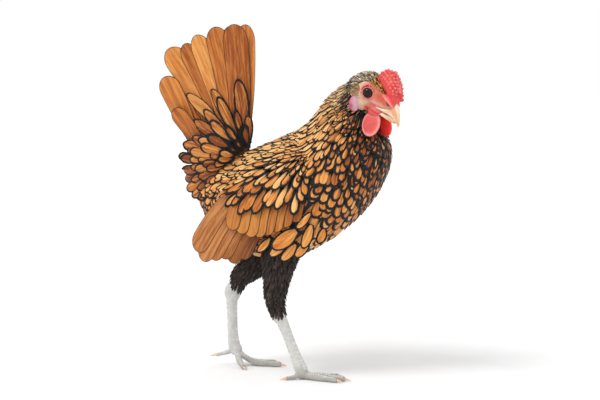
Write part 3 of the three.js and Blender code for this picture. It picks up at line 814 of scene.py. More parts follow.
# The comb stands over the forehead and runs down to the beak.
share_on = np.interp(x, [row[0] for row in COMB_ROWS], np.linspace(0, 1, len(COMB_ROWS)))
_, top, bottom, half = np.moveaxis(between(COMB_ROWS, share_on), -1, 0)
level = (z - (top + bottom) / 2) / ((top - bottom) / 2 + COMB_MARGIN)
in_comb = level**2 + (y / (half + COMB_MARGIN)) ** 2
red = mix(COMB_RED, COMB_TIP, ramp(in_comb, *COMB_PALE) * STRONG)
tint = mix(tint, red, (1 - ramp(in_comb, *COMB_RIM)) * ramp(x, *COMB_X))
for side in (-1, 1):
    deep, leaf = in_leaf(local, WATTLE if side < 0 else WATTLE_LEFT, side)
    flesh = mix(WATTLE_RED, WATTLE_RIM, ramp(deep, *WATTLE_PALE))
    # Painted glow: the left wattle is made a brighter red, as if light shone through it.
    flesh = mix(flesh, WATTLE_PAINTED_GLOW, PAINTED_GLOW_SHARE * (side > 0))
    tint = mix(tint, flesh, 1 - ramp(deep, *LEAF_RIM))
    deep, leaf = in_leaf(local, LOBE, side)
    flesh = mix(LOBE_WHITE, LOBE_PINK, ramp(deep, *LOBE_FLUSH) * ramp(-leaf[:, 0], -2, 2))
    spot_off = length_of(leaf[:, [0, 2]] - LOBE_SPOT)[..., 0]
    flesh = mix(flesh, LOBE_PURPLE, (1 - ramp(spot_off, *LOBE_SPOT_REACH)) * STRONG)
    tint = mix(tint, flesh, 1 - ramp(deep, *LEAF_RIM))
# The legs are bare from the hocks down: all that lies close to a shank's line or under it.
scaly = 1 - ramp(spot[:, 2], *SCALES_TO)
for leg in LEGS.values():
    row = between(leg["shank"], np.linspace(-0.05, 1, 40))
    line = row[:, :3] * (1, leg["side"], 1)
    off = np.min(np.linalg.norm(spot[:, None] - line[None], axis=-1), axis=1)
    low_enough = spot[:, 2] < leg["hock"][2] + ABOVE_HOCK
    scaly = np.maximum(scaly, (1 - ramp(off, *SHANK_REACH)) * low_enough)
tint = mix(tint, mix(SLATE_SHADE, SLATE, ramp(spot[:, 2], *SOLE_SHADE)), scaly)
put(skin.data, "tint", "FLOAT_COLOR", tint)

# Bare skin is moist and finely wrinkled. The pores and folds are under a millimetre, so the bump is
# drawn at 0.9 mm to show.
WRINKLE, BLOTCH = 1100.0, 220.0  # folds and blotches per metre
# Painted shade and highlight: by the folds' noise, which is also the bump, the skin darkens in the hollows
# and brightens on the ridges.
FOLD_PAINTED_SHADE, BLUSH = (0.3, 0.7, 0.82, 1.1), (0.3, 0.7, 0.9, 1.08)  # range of the noise, and how bright there
MOIST = 0.42  # roughness
FOLD_BUMP = 0.6, 0.0004  # strength, and depth in metres
# Soft flesh lets a little light through, most of all the red.
LIVING = {"Subsurface Weight": 0.12, "Subsurface Radius": (1.0, 0.3, 0.2), "Subsurface Scale": 0.002}


def dress(piece, material, slot, *nodes):
    """Gives a piece its material, its ride on the bird's one body and the nodes it stands for. The slot is
    not used.
    """
    piece.data.materials.append(material)
    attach(piece, "root")
    if nodes:
        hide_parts(*nodes)


def stored_node(tree, label, output):
    """What the mesh stores under a label at each vertex."""
    return add_node(tree, "ShaderNodeAttribute", attribute_name=label).outputs[output]


def math_node(tree, operation, *values, **settings):
    return add_node(tree, "ShaderNodeMath", enumerate(values), operation=operation, **settings).outputs[0]


def scaled_colour(tree, colour, by):
    """A colour times a number."""
    return add_node(tree, "ShaderNodeVectorMath", {0: colour, "Scale": by}, operation="SCALE").outputs[0]


hide, tree = new_material("bare_bird_skin")
place = object_place(tree)
wrinkles = noise_node(tree, place, WRINKLE, 3.0)
blotches = noise_node(tree, place, BLOTCH)
# Painted shade in the wrinkles' hollows and painted highlight on their ridges, times the blotches.
shade = range_node(tree, wrinkles, *FOLD_PAINTED_SHADE)
both = math_node(tree, "MULTIPLY", shade, range_node(tree, blotches, *BLUSH))
flesh = scaled_colour(tree, stored_node(tree, "tint", "Color"), both)
end_material(tree, flesh, MOIST, (wrinkles, *FOLD_BUMP), LIVING)
skin.data.materials.clear()
FLESH = ["trunk", "neck", "head", "comb"]
FLESH += [f"{name}_{side}" for name in ("wattle", "ear_lobe", "thigh", "shank", "foot") for side in LEGS]
dress(skin, hide, "red_skin", *FLESH)

# ---------------------------------------------------------------- the eyes
# Wet dark balls in their sockets, with a brown ring round a wide pupil under a clear cornea.
IRIS, PUPIL = 3.5, 2.6  # radii in mm
CORNEA_RISE = 0.35
IRIS_DARK, IRIS_BROWN, PUPIL_BLACK, RIM_BROWN = "#1d0c06", "#3d1d0e", "#050404", "#1b1110"
IRIS_FLECKS = 1500.0  # per metre
PUPIL_BLUR, IRIS_BLUR = 0.25, 0.3  # mm over which each runs into the next
CORNEA_SMOOTH, CORNEA_SHINE = 0.05, {"Specular IOR Level": 0.3}
for side, mirror in zip(LEGS, BOTH):
    axis = unit(EYE_FACES * mirror)
    across = unit(np.cross((0, 0, 1.0), axis))
    about = np.stack([across, np.cross(axis, across), axis], -1)
    places, quads, caps = ball(np.zeros(3), np.full(3, EYE_RADIUS), count=(40, 48))
    off = np.hypot(places[:, 0], places[:, 1])
    clear = np.where(places[:, 2] > 0, np.exp(-((off / IRIS) ** 4)), 0)
    places = places * (1 + clear * CORNEA_RISE / EYE_RADIUS)[:, None]
    eye = piece_of(f"eyeball_{side}", [in_head((EYE_CENTRE * mirror + places @ about.T, quads, caps))])
    ring = np.where(places[:, 2] > 0, off, EYE_RADIUS)
    put(eye.data, "off", "FLOAT", ring)
    wet, tree = new_material(f"wet_eye_{side}")
    off = stored_node(tree, "off", "Fac")
    brown = mix_node(tree, noise_node(tree, object_place(tree), IRIS_FLECKS), IRIS_DARK, IRIS_BROWN)
    iris = mix_node(tree, range_node(tree, off, PUPIL, PUPIL + PUPIL_BLUR), PUPIL_BLACK, brown)
    colour = mix_node(tree, range_node(tree, off, IRIS, IRIS + IRIS_BLUR), iris, RIM_BROWN)
    end_material(tree, colour, CORNEA_SMOOTH, None, CORNEA_SHINE)
    dress(eye, wet, "eye", f"eye_{side}")

# ---------------------------------------------------------------- the beak
# Two halves of smooth layered horn, pale along the cutting edges and the ridge, and warmer between.
# They come out of the skin of the face, and the upper half hooks over the lower.
BEAK_ROWS = {
    "upper": [
        [14, -5.2, -7.8, 7.7],
        [18, -4.8, -8.2, 6.8],
        [22, -3.2, -8.5, 5.7],
        [25.5, 0.6, -8.9, 4.7],
        [28.2, 3.4, -9.3, 3.9],
        [33.4, -2.6, -10.5, 2.7],
        [37, -9.8, -13.4, 1.4],
    ],
    "lower": [
        [14, -8.0, -12.0, 6.9],
        [18, -8.3, -12.5, 5.9],
        [23, -8.7, -12.8, 4.7],
        [28, -9.5, -13.0, 3.4],
        [32, -10.8, -12.9, 1.9],
    ],
}
HORN_PALE, HORN_WARM, HORN_TIP = "#f2dfc4", "#dfa274", "#eab98a"
# The warm band: levels up the side where it begins and (negative) where it ends, and x where it sets in
WARM_FOOT, WARM_TOP, WARM_X = (-0.55, -0.1), (-0.9, -0.6), (18, 30)
TIP_X, TIP_SHARE = (32, 37), 0.6
HORN_SHADE = 0.85, 1.1  # darkest and brightest layers
HORN_LAYERS, HORN_STRETCH = 300.0, (1.0, 3.0, 3.0)  # per metre, and how much closer across the beak
HORN_SMOOTH, HORN_BUMP = 0.3, (0.25, 0.0003)  # roughness, and the bump's strength and depth in metres
HORN_DEPTH = {"Subsurface Weight": 0.1, "Subsurface Radius": (1.0, 0.6, 0.3), "Subsurface Scale": 0.002}


def stretch_node(tree, place, scale):
    return add_node(tree, "ShaderNodeMapping", {"Vector": place, "Scale": scale}).outputs[0]


for half_name, rows in BEAK_ROWS.items():
    rings = from_head(lofted(rows, shares(40), turns(32)))
    shape = closed(rings, (1.0, 1.4))
    beak = piece_of(f"beak_{half_name}_horn", [shape])
    local = to_head(shape[0])
    row_x, row_top, row_bottom, _ = np.array(rows).T
    middle = np.interp(local[:, 0], row_x, (row_top + row_bottom) / 2)
    high = np.interp(local[:, 0], row_x, (row_top - row_bottom) / 2)
    level = (local[:, 2] - middle) / high
    warm = ramp(level, *WARM_FOOT) * ramp(-level, *WARM_TOP)
    tint = mix(HORN_PALE, HORN_WARM, warm * ramp(local[:, 0], *WARM_X))
    tint = mix(tint, HORN_TIP, ramp(local[:, 0], *TIP_X) * TIP_SHARE)
    put(beak.data, "tint", "FLOAT_COLOR", tint)
    horn, tree = new_material(f"layered_horn_{half_name}")
    layers = noise_node(tree, stretch_node(tree, object_place(tree), HORN_STRETCH), HORN_LAYERS, 3.0)
    shade = range_node(tree, layers, 0.0, 1.0, *HORN_SHADE)
    colour = scaled_colour(tree, stored_node(tree, "tint", "Color"), shade)
    end_material(tree, colour, HORN_SMOOTH, (layers, *HORN_BUMP), HORN_DEPTH)
    dress(beak, horn, "beak_horn", f"beak_{half_name}")

# ---------------------------------------------------------------- one feather
# A feather is a thin closed vane of barbs on both sides of a shaft, round at the tip. Golden barbs
# turn black along the rim, which is the lacing. The base is dark down.
# A form: steps up the straight part and round the tip, rings to the shaft, width at the base, share of
# the length that is round tip, thickness, fall from tip to root, camber, upward curl of the tip, and in
# degrees how far a feather may roll and turn from its neighbours.
SMALL = {
    "straight": 1, "round": 2, "rings": 2, "base": 0.5, "tip": 0.35, "thick": 0.22, "fall": 1.2,
    "camber": 0.3, "curl": 0.0, "roll": 8.0, "yaw": 9.0, "rank": 0.2,
}
BODY_FORM = {
    "straight": 2, "round": 3, "rings": 2, "base": 0.45, "tip": 0.3, "thick": 0.3, "fall": 3.0,
    "camber": 0.22, "curl": 0.3, "roll": 6.0, "yaw": 8.0, "rank": 0.4,
}
QUILL_FORM = {
    "straight": 8, "round": 5, "rings": 3, "base": 0.5, "tip": 0.1, "thick": 0.3, "fall": 0.0,
    "camber": 0.1, "curl": 0.0, "roll": 0.0, "yaw": 0.0, "rank": 0.0,
}
BASE_DOWN, DOWN_TO = 0.6, 0.45  # share of grey down at the root, and share of the length that has any
ROUND_LEAST, ROUND_MOST = 1.1, 0.92  # how much of a vane is round: in half widths, and in lengths
SHAFT_TIP = 0.75  # where the inner rings gather at the tip, in shares of the round part from the end
LACE_MOST = 0.75  # share of the way in to the shaft that the rim may take up
UNDERSIDE = 0.5  # of the thickness, below the rim
SHAFT_FROM = 0.06  # share of the length where the rings gather at the base
LIFTS = [0.0, 0.55, 0.85]  # of the rings above the rim, in shares of the thickness


def vane_plan(form):
    """
    The plan of one vane: for each vertex its outline point, side, ring and whether it is below, then
    its quads and triangles. The outline runs up the left edge to the tip and down the right one. On
    the upper face rings step in to the shaft, and the lower face goes straight from rim to shaft.
    """
    half, rings = form["straight"] + form["round"], form["rings"]
    around = 2 * half + 1
    k = np.arange(around)
    j = np.minimum(k, 2 * half - k)
    spine = np.arange(half + 1)
    point = np.concatenate([np.tile(j, rings), spine, spine])
    side = np.concatenate([np.tile(np.sign(k - half), rings), np.zeros(2 * half + 2)])
    ring = np.concatenate([np.repeat(np.arange(rings), around), np.full(2 * half + 2, rings)])
    below = np.arange(len(point)) >= len(point) - half - 1
    shaft, under, inner = rings * around, rings * around + half + 1, (rings - 1) * around
    k2 = (k + 1) % around
    starts = np.arange(rings - 1) * around
    steps = [np.stack([r + k, r + around + k, r + around + k2, r + k2], -1) for r in starts]
    p, q, a, b = k[:-1], k[1:], j[:-1], j[1:]
    steps.append(np.stack([inner + p, shaft + a, shaft + b, inner + q], -1))
    steps.append(np.stack([q, under + b, under + a, p], -1))
    ends = np.array([[inner + around - 1, shaft, inner], [0, under, around - 1]])
    return (point, side, ring, below), np.concatenate(steps), ends


def feathers(name, lay, long, half, lace, tone, down, patch, form, seed, lift=0.0):
    """
    Vanes as one closed mesh. lay(l, a) gives places and outward normals at l mm from each root and a mm
    from each shaft. Each vane is long and half (its half width) mm, its rim black for lace mm, its tone
    0 deep to 1 pale, and down the share of grey in it. A vane's surface stands off by its ring's share
    of the thickness, less fall · (1 - l/long), less camber · (a/half)² · half, plus curl · (l/long)²,
    plus its rank and roll. patch is each root's place and the vane's width and length on the map.
    """
    rng = np.random.default_rng(seed)
    count = len(long)
    (point, side, ring, below), quads, ends = vane_plan(form)
    start = 1 - np.clip(np.maximum(form["tip"], ROUND_LEAST * half / long), 0, ROUND_MOST)[:, None]
    rise = np.linspace(0, 1, form["straight"] + 1)
    bend = np.radians(90) * np.arange(1, form["round"] + 1) / form["round"]
    up = np.concatenate([start * rise, start + (1 - start) * np.sin(bend)], 1)
    wide = np.concatenate([form["base"] + (1 - form["base"]) * np.sin(np.pi / 2 * rise), np.cos(bend)])
    rim_l, rim_a = long[:, None] * up[:, point], half[:, None] * side * wide[point]
    last = 1 - SHAFT_TIP * (1 - start)
    foot = long[:, None] * (SHAFT_FROM + (last - SHAFT_FROM) * up[:, point])
    gap = np.hypot(half[:, None] * wide[point], rim_l - foot)
    first = np.clip(lace[:, None] / gap, 0, LACE_MOST)
    inner = first + (1 - first) * (ring - 1) * 0.5
    inset = np.where(ring == 0, 0, np.where(ring == form["rings"], 1, inner))
    l, a = rim_l + inset * (foot - rim_l), rim_a * (1 - inset)
    swell = np.array(LIFTS[: form["rings"]] + [1.0])[ring] * np.where(below, -UNDERSIDE, 1.0) * form["thick"]
    reach = l / long[:, None]
    roll = np.radians(form["roll"]) * rng.uniform(-1, 1, (count, 1))
    height = swell - form["fall"] * (1 - reach) + form["curl"] * reach**2 + roll * a
    height = height - form["camber"] * (a / half[:, None]) ** 2 * half[:, None]
    height = height + form["rank"] * rng.uniform(-1, 1, (count, 1)) + np.reshape(lift, (-1, 1))
    places, normals = lay(l, a)
    places = places + normals * height[..., None]
    each = len(point)
    shift = (np.arange(count) * each)[:, None, None]
    one = outward(places[0], quads, ends)
    faces = [(face[None] + shift).reshape(-1, face.shape[1]) for face in one]
    made = piece_of(name, [(places.reshape(-1, 3), *faces)])
    mesh = made.data
    put(mesh, "edge", "FLOAT", inset * gap / lace[:, None])
    base_down = form.get("fluff", BASE_DOWN) * ramp(reach, DOWN_TO, 0.0)
    put(mesh, "down", "FLOAT", np.clip(down[:, None] + base_down, 0, 1))
    put(mesh, "vane", "FLOAT_VECTOR", stacked(a, l, tone[:, None]))
    centre, patch_wide, patch_long = patch
    u = centre[:, :1] + a / (2 * half[:, None]) * np.reshape(patch_wide, (-1, 1))
    v = centre[:, 1:] + (reach - 0.5) * np.reshape(patch_long, (-1, 1))
    corner = np.empty(len(mesh.loops), np.int32)
    mesh.loops.foreach_get("vertex_index", corner)
    flat = np.stack([u.ravel(), v.ravel()], -1)[corner]
    mesh.uv_layers.new(name="OFBake").data.foreach_set("uv", flat.astype(np.float32).ravel())
    mesh.set_sharp_from_angle(angle=np.radians(60))
    return made


def on_surface(surface, at, lie, yaw, core=None):
    """Lays vanes on surface(share, turn) from roots at, along lie(places, normals, edges) ± yaw."""
    here, normal, edges = frame_on(surface, at, core)
    along = lie(here, normal, edges)
    along = unit(along - normal * np.einsum("ij,ij->i", along, normal)[:, None])
    across = np.cross(along, normal)
    cos, sin = np.cos(yaw)[:, None], np.sin(yaw)[:, None]
    along, across = cos * along + sin * across, cos * across - sin * along
    edges = tuple(edge[:, None] for edge in edges)

    def lay(l, a):
        moves = l[..., None] * along[:, None] + a[..., None] * across[:, None]
        return frame_on(surface, at[:, None] + steps_on(edges, moves), core)[:2]

    return lay


def on_map(at, low, high, margin=0.03):
    """Roots on the unwrap of the surface that they grow from: turn to the right and share upwards, 0 to 1."""
    low, high = np.array(low, float), np.array(high, float)
    return (margin + (1 - 2 * margin) * (at - low) / (high - low))[:, ::-1]


BARB = 0.7  # mm between ridges of barbs. Real ones are 0.3 mm apart, too fine to show.
BARB_SLANT = 2.2  # how far barbs run towards the tip for each mm off the shaft
SHAFT_HALF, SHAFT_DARK = 0.2, 0.3  # mm, and share of the rim's colour in the shaft
BARB_STREAKS, SHAFT_STREAKS = (0.5, 0.3, 41.0), (0.55, 0.035, 23.0)  # how often, along and across
BAND_WEIGHT, STREAKED = 3.2, (1.55, 2.65)  # of streaks along the shaft, and the range of both together
RAGGED, LACE_ENDS = 0.6, (1.15, 1.45)  # how far streaks fray the rim, and where black turns to gold
RIDGE = 0.25  # of the bump, in ridges of barbs
BARB_BUMP = 0.45, 0.0002  # strength, and depth in metres
SILKY = {"Specular IOR Level": 0.3, "Sheen Weight": 0.05, "Sheen Roughness": 0.4}


def plumage(name, pale, gold, deep, rim, grey, streaks=0.5, rough=0.55):
    """
    Barbs from deep over gold to pale by the feather's tone and by streaks along barbs and shaft, grey
    where there is down, and the rim's colour where edge is under 1.
    """
    material, tree = new_material(name)
    vane = stored_node(tree, "vane", "Vector")
    split = add_node(tree, "ShaderNodeSeparateXYZ", {0: vane}).outputs
    off = math_node(tree, "ABSOLUTE", split["X"])
    slant = math_node(tree, "MULTIPLY_ADD", off, -BARB_SLANT, split["Y"])
    spot = add_node(tree, "ShaderNodeCombineXYZ", {"X": slant, "Y": split["X"], "Z": split["Z"]}).outputs[0]
    streak = noise_node(tree, stretch_node(tree, spot, BARB_STREAKS), 1.0)
    band = noise_node(tree, stretch_node(tree, vane, SHAFT_STREAKS), 1.0)
    both = math_node(tree, "MULTIPLY_ADD", band, BAND_WEIGHT, streak)
    lean = range_node(tree, both, *STREAKED, -streaks, streaks)
    tone = math_node(tree, "ADD", lean, split["Z"], use_clamp=True)
    golden = mix_node(tree, range_node(tree, tone, 0.0, 0.5), deep, gold)
    barbs = mix_node(tree, range_node(tree, tone, 0.5, 1.0), golden, pale)
    lit = mix_node(tree, range_node(tree, off, SHAFT_HALF, 0.0, 0.0, SHAFT_DARK), barbs, rim)
    downy = mix_node(tree, stored_node(tree, "down", "Fac"), lit, grey)
    ragged = math_node(tree, "MULTIPLY_ADD", streak, RAGGED, stored_node(tree, "edge", "Fac"))
    inside = range_node(tree, ragged, *LACE_ENDS, interpolation_type="SMOOTHSTEP")
    ridge = math_node(tree, "MULTIPLY", slant, 2 * np.pi / BARB)
    relief = math_node(tree, "MULTIPLY_ADD", math_node(tree, "SINE", ridge), RIDGE, streak)
    colour = mix_node(tree, inside, rim, downy)
    end_material(tree, colour, rough, (relief, *BARB_BUMP), SILKY)
    return material


# ---------------------------------------------------------------- the coat of body and neck
# Rounded feathers overlap like tiles from the head to the tail. They are small and grey-brown at the
# nape, round on the breast, broad on the flank, and long and pale over the saddle.
# Rows: share of the body, spacing, width, length and lacing in mm, down, tone
BREAST_FEATHERS = np.array([
    [0.0, 5.2, 8.0, 14, 1.5, 0.0, 0.3],
    [0.15, 6.4, 9.4, 17, 1.5, 0.0, 0.4],
    [0.35, 9.0, 12.0, 22, 1.6, 0.0, 0.55],
    [0.5, 8.4, 10.6, 20, 1.7, 0.0, 0.4],
    [0.6, 6.8, 8.2, 17, 1.6, 0.0, 0.35],
    [0.7, 4.8, 5.4, 14, 1.2, 0.0, 0.25],
    [0.78, 3.3, 3.4, 10, 0.85, 0.0, 0.25],
    [0.86, 2.3, 2.0, 8, 0.5, 0.0, 0.4],
    [1.0, 1.6, 1.4, 6.5, 0.3, 0.1, 0.5],
])
BACK_FEATHERS = np.array([
    [0.0, 5.0, 7.0, 16, 1.2, 0.0, 0.5],
    [0.3, 5.8, 6.4, 26, 1.1, 0.0, 0.8],
    [0.5, 5.6, 5.8, 26, 1.1, 0.0, 0.9],
    [0.62, 4.5, 4.5, 19, 0.95, 0.0, 0.8],
    [0.72, 2.9, 2.7, 13, 0.45, 0.05, 0.8],
    [0.82, 2.0, 1.6, 9.5, 0.28, 0.2, 0.8],
    [1.0, 1.4, 1.1, 6.5, 0.2, 0.4, 0.7],
])
LACING = 1.5  # how much wider the black is than in the rows
BREAST_NARROW = 0.72  # of the width, at the very front of the breast
SHADE_WIDER, SHADE_DARKER = 1.3, 0.6  # how much wider again the black is on a line of painted shade, and how much darker the tone
BACK_TURN = -0.05, 0.65  # cosines of the turn between which breast feathers give way to those of the back
BELLY_SHIFT, BELLY_TURN = 0.12, (0.1, 0.9)  # share of the body by which rows run on under it
FRONT_X, FRONT_SHARE = (50, 72), (0.4, 0.55)  # where the breast is at its very front
# Where the lie turns, each from none to full: over the breast, down from the throat (of -z), back over
# the saddle (of -x and z) and round the tail (of -x)
BREAST_X, THROAT_Z, SADDLE_X, SADDLE_Z, TAIL_X = (0, 35), (-224, -198), (-24, -8), (130, 152), (44, 66)
FAN_FALL = np.array([0, 0, -0.15])
TAIL_HUB = np.array([-44.0, 0.0, 188.0])  # the feathers round the tail's root point away from it
WING_HUB = np.array([22.0, 38.0, 206.0])  # those of saddle and wing point away from the shoulder
DOWNWARD, FLANKWARD = np.array([-0.25, 0, -1.0]), np.array([-0.8, 0, -0.6])
# Painted shade in front of and below the wing and behind the head: along these lines the black lacing is
# widened and the tone darkened. x and z of two ends and reach in mm, on both sides
SHADE_LINES = np.array([
    [22, 196, 17, 146, 3.5],
    [15, 138, 0, 130, 7.0],
    [53.5, 257, 50.5, 249, 2.2],
    [50.5, 249, 49, 240, 2.4],
    [49, 240, 63, 229, 1.8],
])


def painted_shade(here):
    """How much wider the black is by each line of painted shade: 1 + the widening on its line and 1 past its
    reach.
    """
    wider = np.ones(len(here))
    for x1, z1, x2, z2, reach in SHADE_LINES:
        way = np.array([x2 - x1, z2 - z1], float)
        near = np.clip(((here[:, [0, 2]] - (x1, z1)) @ way) / (way @ way), 0, 1)
        gap = length_of(here[:, [0, 2]] - (x1, z1) - near[:, None] * way)[:, 0]
        wider = np.maximum(wider, 1 + SHADE_WIDER * (1 - ramp(gap, 0.5 * reach, 1.2 * reach)))
    return wider


def looked_up(table, place):
    """The table's later columns at each place along its first one."""
    return np.stack([np.interp(place, table[:, 0], column) for column in table[:, 1:].T], -1)


def tract(at, here):
    """Spacing, width, length, lacing, down and tone at each (share, turn), from back and breast rows."""
    share, turn = at[:, 0], at[:, 1]
    on_back = ramp(np.cos(turn), *BACK_TURN)[:, None]
    front = share - BELLY_SHIFT * ramp(-np.cos(turn), *BELLY_TURN)
    on_breast = looked_up(BREAST_FEATHERS, front)
    sizes = on_breast + (looked_up(BACK_FEATHERS, share) - on_breast) * on_back
    # Painted shade: along its lines the black lacing widens and the tone darkens.
    black = painted_shade(here)
    sizes[:, 3] *= LACING * black
    sizes[:, 5] *= 1 + SHADE_DARKER - SHADE_DARKER * black
    at_front = ramp(here[:, :1], *FRONT_X) * ramp(share, *FRONT_SHARE)[:, None]
    sizes[:, :2] *= 1 - (1 - BREAST_NARROW) * at_front
    return sizes


def from_shoulder(here):
    """Along x and z away from the shoulder that the feathers of saddle and wing fan out from."""
    return unit((here - WING_HUB) * (1, 0, 1))


def body_lie(here, normal, edges):
    """Down the neck, down the breast, back along the flank, and fanning from shoulder and tail root."""
    lie = -unit(edges[0])
    x, z = here[:, :1], here[:, 2:]
    low = FLANKWARD + (DOWNWARD - FLANKWARD) * ramp(x, *BREAST_X)
    lie = lie + (low - lie) * ramp(-z, *THROAT_Z)
    fan = from_shoulder(here) + FAN_FALL
    lie = lie + (fan - lie) * ramp(-x, *SADDLE_X) * ramp(z, *SADDLE_Z)
    return lie + (unit(here - TAIL_HUB) - lie) * ramp(-x, *TAIL_X)


LACE_BLACK, DARK_DOWN = "#0b0c0f", "#15110f"
LACED_GOLD = plumage("laced_gold_feather", "#f6c47e", "#dc8a38", "#984a15", LACE_BLACK, DARK_DOWN, 0.3)
HACKLE = plumage("hackle_feather", "#f2cf95", "#c98a48", "#7d4518", "#100e0e", "#857662", 0.35)

# Pieces by share of the body, so that each stays small: from, to, seed, material, slot
COAT_PARTS = {
    "coat_rump_and_flanks": [0.0, 0.52, 21, LACED_GOLD, "plumage_gold"],
    "coat_breast": [0.52, 0.8, 22, LACED_GOLD, "plumage_gold"],
    "coat_neck": [0.8, 0.99, 23, HACKLE, "plumage_neck"],
}


# The part of the body that no feathers are needed on: x, distance out, z
UNDER_WING = np.array([[-38, 30, 150], [6, np.inf, 185]])


def covered(here, at):
    """0 where the wing's shield lies over the body, and 1 elsewhere."""
    place = stacked(here[:, 0], np.abs(here[:, 1]), here[:, 2])
    return 1.0 * ~((place > UNDER_WING[0]) & (place < UNDER_WING[1])).all(1)


PATCH_FILL = 0.5  # of the mean spacing of the roots on the map
SIZE_VARY, TONE_VARY, DOWN_VARY = (0.8, 1.2), 0.3, 0.35
DOWN_LEAST = 0.02  # feathers with less down have none


def coat(
    name, surface, at, low, high, sizes, form, seed, lie, fill=PATCH_FILL, core=None, lift=0.0, vary=TONE_VARY
):
    """
    Feathers on a surface from rows of sizes, their tones varied. A patch of the map is fill / √count
    wide and long, so some overlap where the feathers stand close.
    """
    rng = np.random.default_rng(seed)
    _, width, length, lace, down, tone = sizes.T
    scale = rng.uniform(*SIZE_VARY, len(at))
    yaw = np.radians(form["yaw"]) * rng.uniform(-1, 1, len(at))
    lay = on_surface(surface, at, lie, yaw, core)
    grain = fill / np.sqrt(len(at))
    patch = (on_map(at, low, high), grain, grain)
    tone = np.clip(tone + vary * rng.uniform(-1, 1, len(at)), 0, 1)
    down = np.clip(down + rng.uniform(-DOWN_VARY, DOWN_VARY, len(at)) * (down > DOWN_LEAST), 0, 1)
    half = width * scale / 2
    return feathers(name, lay, length * scale, half, lace, tone, down, patch, form, seed + 1, lift)


for name, (low, high, seed, material, slot) in COAT_PARTS.items():
    ends = ((low, 0.0), (high, 2 * np.pi))
    at = spread(body, lambda here, at: tract(at, here)[:, 0], seed, *ends, keep=covered)
    sizes = tract(at, body(at[:, 0], at[:, 1]))
    piece = coat(name, body, at, *ends, sizes, BODY_FORM, seed, body_lie)
    dress(piece, material, slot)

# Large flank feathers hang over the top of each thigh, further back on the left where the thigh is:
# root and tip (x, distance out, z), half width
FLANK_FEATHERS = np.array([
    [31, 36, 132, 26, 38.5, 119, 4.6],
    [8, 42, 119, -5, 44, 104, 5.0],
    [18, 39, 122, 7, 42.5, 107, 4.8],
    [0, 43.5, 121, -15, 45, 108, 4.8],
    [-14, 43, 124, -26, 43.5, 111, 4.0],
    [21, 40.5, 136, 14, 43, 115, 5.0],
    [9, 43, 131, -12, 46.5, 115, 6.9],
    [21, 42.5, 146, 9, 46, 132, 3.6],
])
FLANK_FORM = {
    **QUILL_FORM, "tip": 0.52, "base": 0.5, "camber": 0.16, "straight": 4, "round": 6, "fluff": 0.05,
}
FLANK_STEP = 0.5  # mm by which each lies over the one before it


def blades(roots, tips, across, flat, bow, stack, tilt):
    """
    Lays vanes as flat quills: root + along · l + across · (a + bow · sin(π l / long)), standing off by
    stack + tilt · a.
    """
    span = tips - roots
    long, along = length_of(span), unit(span)

    def lay(l, a):
        arc = bow * np.sin(np.pi * l / long)
        places = roots[:, None] + along[:, None] * l[..., None] + across[:, None] * (a + arc)[..., None]
        places = places + flat[:, None] * (np.reshape(stack, (-1, 1)) + tilt * a)[..., None]
        return places, np.broadcast_to(flat[:, None], places.shape)

    return lay


STRIP_WIDE, STRIP_LONG = 0.86, 0.9  # of each quill's share of the map


def fan_of_quills(name, roots, tips, steps, half, bow, stack, tilt, lace, tone, form, seed, side):
    """
    One row of quills in the surface that steps span with them, each on its own strip of the map. Tilt
    raises the edges that face the first quill.
    """
    across = unit(np.cross(tips - roots, np.cross(tips - roots, steps)))
    flat = unit(np.cross(across, tips - roots))
    flat = flat * np.where(np.sign(flat[:, 1:2]) == side, 1, -1)
    rng = np.random.default_rng(seed)
    count = len(roots)
    long = length_of(tips - roots)[:, 0]
    half = half * rng.uniform(0.96, 1.04, count)
    centre = np.stack([(np.arange(count) + 0.5) / count, np.full(count, 0.5)], -1)
    patch = (centre, STRIP_WIDE / count, STRIP_LONG)
    tone = np.clip(tone + rng.uniform(-0.2, 0.2, count), 0, 1)
    lay = blades(roots, tips, across, flat, bow, stack, tilt)
    return feathers(name, lay, long, half, np.full(count, lace), tone, np.zeros(count), patch, form, seed)


for side_name, leg in LEGS.items():
    mirror = np.array([1, leg["side"], 1])
    back = np.array([leg["thigh"][0][0] - LEGS["right"]["thigh"][0][0], 0, 0])
    roots, tips = FLANK_FEATHERS[:, :3] * mirror + back, FLANK_FEATHERS[:, 3:6] * mirror + back
    rearward = np.tile([-0.75, 0.1 * leg["side"], 0.65], (len(roots), 1))
    stack = FLANK_STEP * np.arange(len(roots))
    piece = fan_of_quills(f"coat_flank_{side_name}_large_feathers", roots, tips, rearward,
                          FLANK_FEATHERS[:, 6], 0.5, stack, 0.0, 1.7, 0.6, FLANK_FORM, 25, leg["side"])
    dress(piece, LACED_GOLD, "plumage_gold")

# ---------------------------------------------------------------- the feathers of the head
# Feathers of a millimetre or two cover the crown down to the comb, grey-brown above and golden by the
# comb. A tuft hides the ear, and the bare face carries sparse bristles.
CROWN_SIZES = np.array([1.5, 1.6, 4.8, 0.22, 0.15, 0.6])  # spacing, width, length, lacing, down, tone
CROWN_FORM = {**SMALL, "fall": 0.9, "curl": 0.7, "roll": 20.0, "yaw": 16.0, "rank": 0.35}
GOLD_PATCH = np.array([10.0, 10.5, 8.0])  # x, z and reach on the head
CROWN_REAR = -18.0  # x where the feathers of the neck take over
CROWN_VARY = 0.6  # of the tone
CROWN = plumage("crown_feather", "#f3e3c2", "#96794f", "#1c140f", "#15110f", "#8d8276", 0.3)
GOLDEN = plumage("golden_crown_feather", "#f2bd66", "#c87e2c", "#2e1a0d", "#1a120d", "#6a6258", 0.4)


